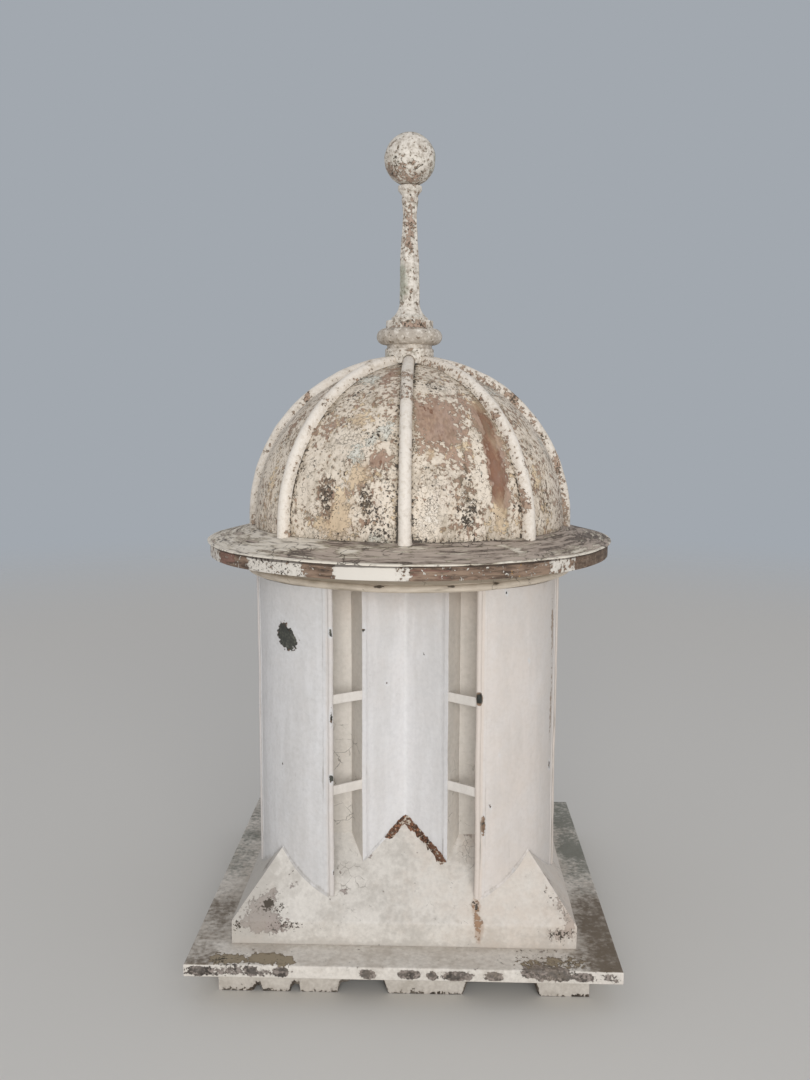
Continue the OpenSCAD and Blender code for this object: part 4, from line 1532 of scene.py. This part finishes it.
# %% [markdown]
# ## Wear of the plinth
# Rain stands at the knee of the plinth. Both front hips have lost their white down to the
# purple-grey undercoat, with dark crumbs of dirt along the break, and one run of rust comes down
# from the foot of the right-hand wired edge.

# %% Wear of the plinth
def on_plinth(x, y):
    """A place on the surface of the plinth, from a place in plan in millimetres."""
    return Vector((x * MM, y * MM, slope_z(x * MM, y * MM)))


plinth_chips = dabs_at(on_plinth, [
    (-208, -241, 30, 18, 1.0), (-200, -232, 10, 10, 0.8), (238, -243, 10, 12, 0.8),
    (224, -231, 14, 10, 0.6), (208, -214, 10, 10, 0.5), (-192, -222, 8, 14, 0.6),
    (-160, -216, 6, 12, 0.6), (-87, -221, 9, 3, 0.9), (-96, -204, 5, 5, 0.9),
    (-52, -190, 5, 4, 0.9), (96, -170, 8, 3, 0.9)])
plinth_chips += dabs_at(spot, [
    (-200, -248, 88, 34, 12, 0.9), (-155, -248, 88, 26, 10, 0.25), (226, -248, 85, 30, 11, 0.75)])
plinth_dirt = dabs_at(on_plinth, [
    (-198, -233, 12, 10, 0.9), (-178, -236, 20, 9, 0.4), (232, -238, 12, 12, 0.6),
    (104, -229, 6, 9, 1.1), (106, -236, 6, 10, 1.1), (-165, -205, 9, 9, 0.8),
    (-148, -188, 7, 9, 0.8), (-88, -176, 9, 9, 0.8), (-46, -166, 7, 9, 0.9),
    (165, -215, 7, 7, 0.8), (214, -222, 13, 12, 0.85), (70, -214, 7, 7, 0.7),
    (-110, -236, 12, 8, 0.7)])
plinth_dirt += dabs_at(spot, [
    (-240, -248, 86, 10, 13, 1.35), (-155, -248, 92, 30, 12, 0.85), (228, -248, 86, 24, 9, 0.75)])
for number, side in enumerate(SIDES):
    piece = plinth[side]
    front = side == "front"
    dab(piece, "bare", plinth_chips if front else scattered(piece, 8, number + 80, 15, 9, 0.8))
    # Painted shade at the foot of the panels and on the left side, with some dirt.
    dab(piece, "grime_and_shade", spread=lambda p: 0.8 * fade(p.z - flange_high.z, 6)
        + 0.8 * ramp(-p.x, 0.17, 0.22))
    # Warmer to the right and cooler to the left: partly yellowed paint, partly painted light.
    dab(piece, "warm", spread=lambda p: min(0.9, max(-0.4, p.x * 6)))
    dab(piece, "craze", spread=lambda p: (0.3 if p.z > knee_z else -0.2)
        + 0.7 * soft_line(min(abs(p.x), abs(p.y)) - 0.085, 30))
    dab(piece, "dirt", plinth_dirt if front else [], lambda p: 0.3 * fade(p.z - flange_high.z, 16))
rust_run = dabs_at(on_plinth, [(105, -230, 7, 8, 1.2), (104, -237, 7, 8, 1.2),
                               (106, -244, 7, 8, 1.1), (-105, -230, 5, 8, 0.7)])
rust_run += dabs_at(spot, [(108, -248, 95, 7, 8, 1.1), (107, -248, 84, 7, 8, 1.0),
                           (107, -248, 73, 7, 8, 0.8)])
dab(plinth["front"], "rust", rust_run)
print("plinth:", len(plinth_chips), "chips,", len(plinth_dirt), "patches of dirt")

# %% [markdown]
# ## Wear of the flange and the skirt
# The front edge of the flange has lost a row of oval flakes. Its top carries silt along the front
# corners, mud on the near part of both sides and green-grey moss on the far part. The skirt has
# rusted back along its foot, and its hidden face is bare dark metal, which also paints the shade
# inside the skirt.

# %% Wear of the flange and the skirt
EDGE_Y = flange_low.y / MM
FLAKE_STRENGTH = 3.6
FLAKE_SPILL = 1.36  # a dab of that strength shows this much further than its reach
edge_flakes = [(-48, 11, 51), (10, 16, 52), (42, 7, 51), (77, 22, 51), (127, 13, 52), (186, 20, 58),
               (218, 13, 57), (251, 13, 53), (-168, 9, 53), (-211, 6, 53), (-284, 9, 52)]
bare_edge = dabs_at(spot, [(x, EDGE_Y, z, half / FLAKE_SPILL, 4.9, FLAKE_STRENGTH)
                           for x, half, z in edge_flakes])
bare_edge += dabs_at(spot, [(x, EDGE_Y, 52, 16, 6.5, 0.8)
                            for x in (-292, -268, -240, -206, -176, 196, 222, 290)])
for quarters in (1, 2, 3):
    chance = random.Random(quarters)
    for _ in range(10):
        place = Vector((chance.uniform(-0.28, 0.28), flange_low.y, 53 * MM))
        bare_edge.append((turn(place, quarters), chance.uniform(5, 16) * MM, 5 * MM,
                          chance.uniform(0.8, 5.0)))


def on_top(point):
    """Whether a place is on the top of the flange."""
    return point.z > flange_high.z - 1 * MM


def flat_side(point):
    """One on the top of the flange along the right side and less along the left one."""
    inner, outer = 0.225, 0.275
    sides = ramp(point.x, inner, outer) + 0.65 * ramp(-point.x, inner, outer)
    return sides if on_top(point) else 0.0


dab(flange, "bare", bare_edge + dabs_at(spot, [
    (-225, -292, 62, 45, 7, 0.3), (208, -294, 62, 60, 10, 0.3)]))
dab(flange, "silt", dabs_at(spot, [
    (-262, -288, 62, 15, 9, 1.5), (-238, -289, 62, 15, 9, 1.5), (-205, -287, 62, 15, 9, 1.5),
    (-183, -287, 62, 15, 9, 1.5), (-162, -292, 62, 15, 9, 1.5), (172, -284, 62, 22, 9, 0.9),
    (212, -282, 62, 22, 9, 0.9), (248, -286, 62, 22, 9, 0.9)]))
dab(flange, "moss", dabs_at(spot, [(282, 82, 62, 24, 20, 0.5), (-282, 120, 62, 24, 30, 0.4),
                                   (120, 284, 62, 30, 8, 0.8)]),
    lambda p: flat_side(p) * ramp(p.y, -0.13, 0.0))
dab(flange, "mud", spread=lambda p: flat_side(p) * ramp(-p.y, 0.0, 0.13))
dab(flange, "dirt", spread=lambda p: 0.3 if abs(p.x) > 0.25 and on_top(p) else 0.0)
# Dirt on the top, and painted shade in the corner along the foot of the plinth.
dab(flange, "grime_and_shade", spread=lambda p: (0.1 if on_top(p) else -0.1)
    + 0.6 * fade(abs(max(abs(p.x), abs(p.y)) - plinth_half), 12))


def rust_and_inner_shade(point):
    """Bare on the hidden face, whose dark metal also paints the shade inside, and along the foot, most
    at a notch.
    """
    if max(abs(point.x), abs(point.y)) < skirt_high.x - 1.5 * MM:
        return 1.3
    foot = skirt_foot(point.x) if point.y < -0.26 else 0.0
    return (1.3 if foot > 3 * MM else 0.7) * fade(point.z - foot, 6)


# Painted shade along the top of the skirt, under the flange.
dab(skirt, "grime_and_shade", spread=lambda p: 0.9 * fade(skirt_high.z - p.z, 8))
dab(skirt, "bare", spread=rust_and_inner_shade)
print("flakes along the front edge of the flange:", len(edge_flakes))

# %% [markdown]
# ## Wear of the dome
# On the dome a place is given by its azimuth and its height, as on a globe. The marks run in the
# order in which the weather made them: first the broad remains of each coat, then runs, then spots.
# The four gores at the back get scattered marks of every kind.

# %% Wear of the dome
def on_dome(azimuth, height, out=dome_r):
    """A place on the dome, or with another reach on a roll: azimuth in degrees, height in mm."""
    lift = max(0.0, height * MM - curve_z)
    return around(azimuth, math.sqrt(max(0.0, out ** 2 - lift ** 2)), height * MM)


def off_seam(point):
    """How far a place lies from the middle of the nearest seam, round the dome."""
    azimuth = azimuth_of(point)
    nearest = GORE_TURN * round(azimuth / GORE_TURN)
    return abs(math.radians(azimuth - nearest)) * reach_of(point)


def beside_roll(point):
    """One along the edges of the rolls and at the foot of the dome, nought inside a gore."""
    return (0.9 * fade(max(0.0, off_seam(point) - roll_half), 4)
            + 0.5 * fade(point.z - dome_foot_z, 6))


dome_marks = {
    "cream": [(-22, 786, 26, 24, 0.7), (-80, 780, 40, 90, 0.7), (80, 780, 40, 90, 0.25),
              (29, 790, 9, 44, 0.8), (28, 740, 9, 40, 0.45), (-36, 750, 14, 60, 0.4),
              (-6, 690, 10, 40, 0.5), (-30, 655, 30, 7, 1.0), (-9, 652, 16, 14, 0.9),
              (9, 690, 24, 40, 0.7), (20, 858, 20, 12, 0.7), (28, 730, 14, 60, 0.5),
              (-38, 700, 12, 50, 0.3), (5, 660, 14, 20, 0.5)],
    "pale": [(-18, 768, 13, 26, 0.8), (-8, 800, 12, 30, 0.9), (-30, 874, 26, 10, 0.9),
             (-12, 790, 12, 14, 0.8), (60, 860, 30, 20, 0.6), (-85, 700, 24, 60, 0.6),
             (-9, 650, 18, 16, 0.8), (75, 780, 16, 50, 0.5)],
    "ochre": [(-22, 685, 15, 38, 1.3), (-16, 740, 14, 16, 1.3), (-28, 662, 22, 18, 0.9),
              (32.5, 682, 13, 28, 1.3), (37, 835, 13, 30, 0.9), (36, 785, 13, 28, 0.7),
              (9, 768, 9, 8, 0.9), (20, 780, 14, 16, 0.6), (-20, 815, 16, 14, 1.0),
              (-58, 720, 16, 60, 0.5), (-3, 700, 5, 26, 0.7), (55, 730, 12, 60, 0.4)],
    "pink": [(15, 815, 40, 36, 0.95), (-34, 806, 14, 20, 0.8), (-9, 766, 12, 12, 0.8),
             (-8, 852, 14, 12, 0.5), (24, 750, 12, 30, 0.3), (-12, 872, 16, 10, 0.5)],
    "red": [(37, 832, 13, 20, 0.9), (36.5, 812, 14, 20, 1.0), (36, 792, 14, 20, 1.0),
            (35, 772, 15, 20, 1.05), (34.5, 748, 16, 22, 1.05), (34, 724, 15, 20, 1.05),
            (33.5, 706, 11, 14, 0.95), (-16, 882, 13, 9, 0.7), (14, 794, 26, 26, 0.62),
            (9, 830, 22, 22, 0.62), (-9, 760, 8, 12, 0.5), (-62, 800, 8, 34, 0.6),
            (-43, 806, 5, 26, 0.6)],
    "dark": [(-28, 716, 12, 32, 1.3), (-13, 706, 12, 34, 1.15), (-9, 668, 22, 18, 0.5),
             (-5, 720, 5, 60, 0.5), (-25, 690, 8, 30, 0.4), (-13, 790, 10, 20, 0.6),
             (21, 694, 17, 44, 0.95), (22, 742, 8, 34, 0.7), (8, 690, 16, 40, 0.2),
             (20, 862, 16, 10, 0.5), (60, 700, 26, 40, 0.3), (76, 690, 26, 46, 0.35)],
}
for layer, rows in dome_marks.items():
    for number, gore in enumerate(gores):
        marks = dabs_at(on_dome, rows)
        if 2 <= number <= 5:
            marks = scattered(gore, 5, 17 * number + len(layer), 18, 32, 0.7)
        dab(gore, layer, marks)
# Painted shadow and dirt in the creases beside the rolls and at the foot of the dome.
for gore in gores:
    dab(gore, "crease", spread=beside_roll)
print("marks on the dome:", {layer: len(rows) for layer, rows in dome_marks.items()})

# %% [markdown]
# ## Wear of the fascia and the brim
# What is left of the white on the fascia sits in a few broad stretches, so it is set by azimuth.
# The brim keeps cream on its lip and in a scatter of patches, more of it to the left.

# %% Wear of the fascia and the brim
def sectors(*spans, soft=2.0):
    """A spread made of stretches round the piece, each (first, last, strength), with soft ends."""
    def share(point):
        azimuth = azimuth_of(point)
        return sum(strength * min(1.0, max(0.0, min(azimuth - first, last - azimuth) / soft + 0.5))
                   for first, last, strength in spans)
    return share


def ring_spot(azimuth, radius, height):
    """A place round the centre line, from degrees and millimetres."""
    return around(azimuth, radius * MM, height * MM)


def on_lip(point):
    """Whether a place is on the outermost strip of the brim."""
    return reach_of(point) > lip_r - 3.5 * MM


dab(fascia, "white", spread=sectors(
    (-16.4, -2.6, 1.5), (-44, -25, 0.62), (-2.6, 2, 0.5), (40, 50, 0.45), (-100, -60, 0.5),
    (90, 125, 0.8), (150, 180, 0.6), (-150, -125, 0.9), (4, 40, 0.1)))
dab(fascia, "red", spread=sectors((-60, -50, 0.8), (0, 12, 0.7), (12, 24, 0.2), (130, 150, 0.6)))
dab(fascia, "dark", spread=sectors((50, 90, 0.55), (-21, -17, 0.1), (3, 35, 0.1)))
# Painted shadow along the top of the fascia, under the lip of the brim.
dab(fascia, "seam", spread=lambda p: 1.0 if p.z > lip_z - gauge - 3.5 * MM else 0.0)
dab(fascia, "orange", spread=sectors((26, 31, 0.75), (40, 50, 0.5)))
dab(fascia, "speck", spread=sectors((-44, -25, 0.28), (-16, -3, -0.5)))
brim_cream = dabs_at(ring_spot, [
    (-40, 262, 648, 26, 9, 0.5), (-34, 262, 648, 26, 9, 0.5), (-28, 262, 648, 26, 9, 0.5),
    (33, 285, 640, 9, 8, 1.0), (31, 270, 645, 8, 8, 0.9)])
dab(brim, "cream", brim_cream + scattered(brim, 14, 9, 22, 8, 0.5),
    lambda p: (2.9 if p.x < 0.0 else 0.7) * on_lip(p) + 0.45 * ramp(-p.x, 0.1, 0.2))
dab(brim, "dark", scattered(brim, 18, 5, 20, 8, 0.5))
print("brim: patches of cream", len(brim_cream) + 14)

# %% [markdown]
# ## Wear of the rolls, the neck and the finial
# The rolls have chipped along both edges, the left-hand ones less. Painted shade lies in a line under
# the bead of the neck and darkens the neck towards the soffit, and the whole soffit under the brim.
# The stem and the ball have gone brown in front and green-grey at the side that stays damp.

# %% Wear of the rolls, the neck and the finial
def on_roll(azimuth, height):
    """A place on the crown of a roll, from degrees and millimetres."""
    return on_dome(azimuth, height, roll_reach)


roll_chips = {0: dabs_at(on_roll, [(0, height, 16, 12, 0.75) for height in (848, 864, 880)]),
              7: dabs_at(on_roll, [(-44, 850, 9, 26, 0.4), (-43, 812, 6, 16, 0.4)])}
for number, roll in enumerate(rolls):
    chipped = {1: 0.08, 2: 0.2, 3: 0.2}.get(number, -0.1)
    dab(roll, "bare", roll_chips.get(number) or scattered(roll, 7, 30 + number, 8, 14, 0.6),
        lambda p: chipped + 0.45 * min(1.0, off_seam(p) / roll_half) ** 4)
    dab(roll, "grime_and_shade", spread=lambda p: 0.5 * fade(p.z - lip_z, 30) - 0.1)
dab(neck, "bare", dabs_at(ring_spot, [(azimuth, 256.5, 588, 12, 3, 0.8)
                                      for azimuth in (-30, -8, 14, 30, 44, 80, 130)]))
# Painted shade on the neck: a line under the bead, and darker towards the soffit.
dab(neck, "grime_and_shade", spread=lambda p: 0.1 + 0.7 * ramp(p.z, lid_z + 10 * MM, lid_z + 16 * MM)
    + 1.2 * soft_line(p.z - lid_z - 13 * MM, 1.6))
# Painted shade all over the soffit, under the brim.
dab(soffit, "grime_and_shade", spread=lambda p: 0.8)
dab(spindle, "brown", dabs_at(spot, [(0, -14, 1108, 9, 34, 0.8), (8, -36, 958, 30, 6, 0.9)]),
    lambda p: -0.2 * ramp(-p.z, -0.96, -0.95))
dab(spindle, "crease", spread=lambda p: 0.5 * ramp(-p.z, -0.96, -0.95))
dab(spindle, "lichen", dabs_at(spot, [(-14, -10, 1030, 12, 40, 0.9)]))
dab(ball, "brown", dabs_at(spot, [(0, -20, 1180, 40, 14, 0.5), (-30, -18, 1196, 16, 16, 0.5)]))
dab(ball, "lichen", dabs_at(spot, [(36, 0, 1215, 16, 30, 0.9), (0, 0, 1250, 30, 12, 0.5)]))
dab(collar, "lichen", dabs_at(spot, [(-36, -10, 910, 16, 16, 0.6)]))
print("wear: placed on every piece")
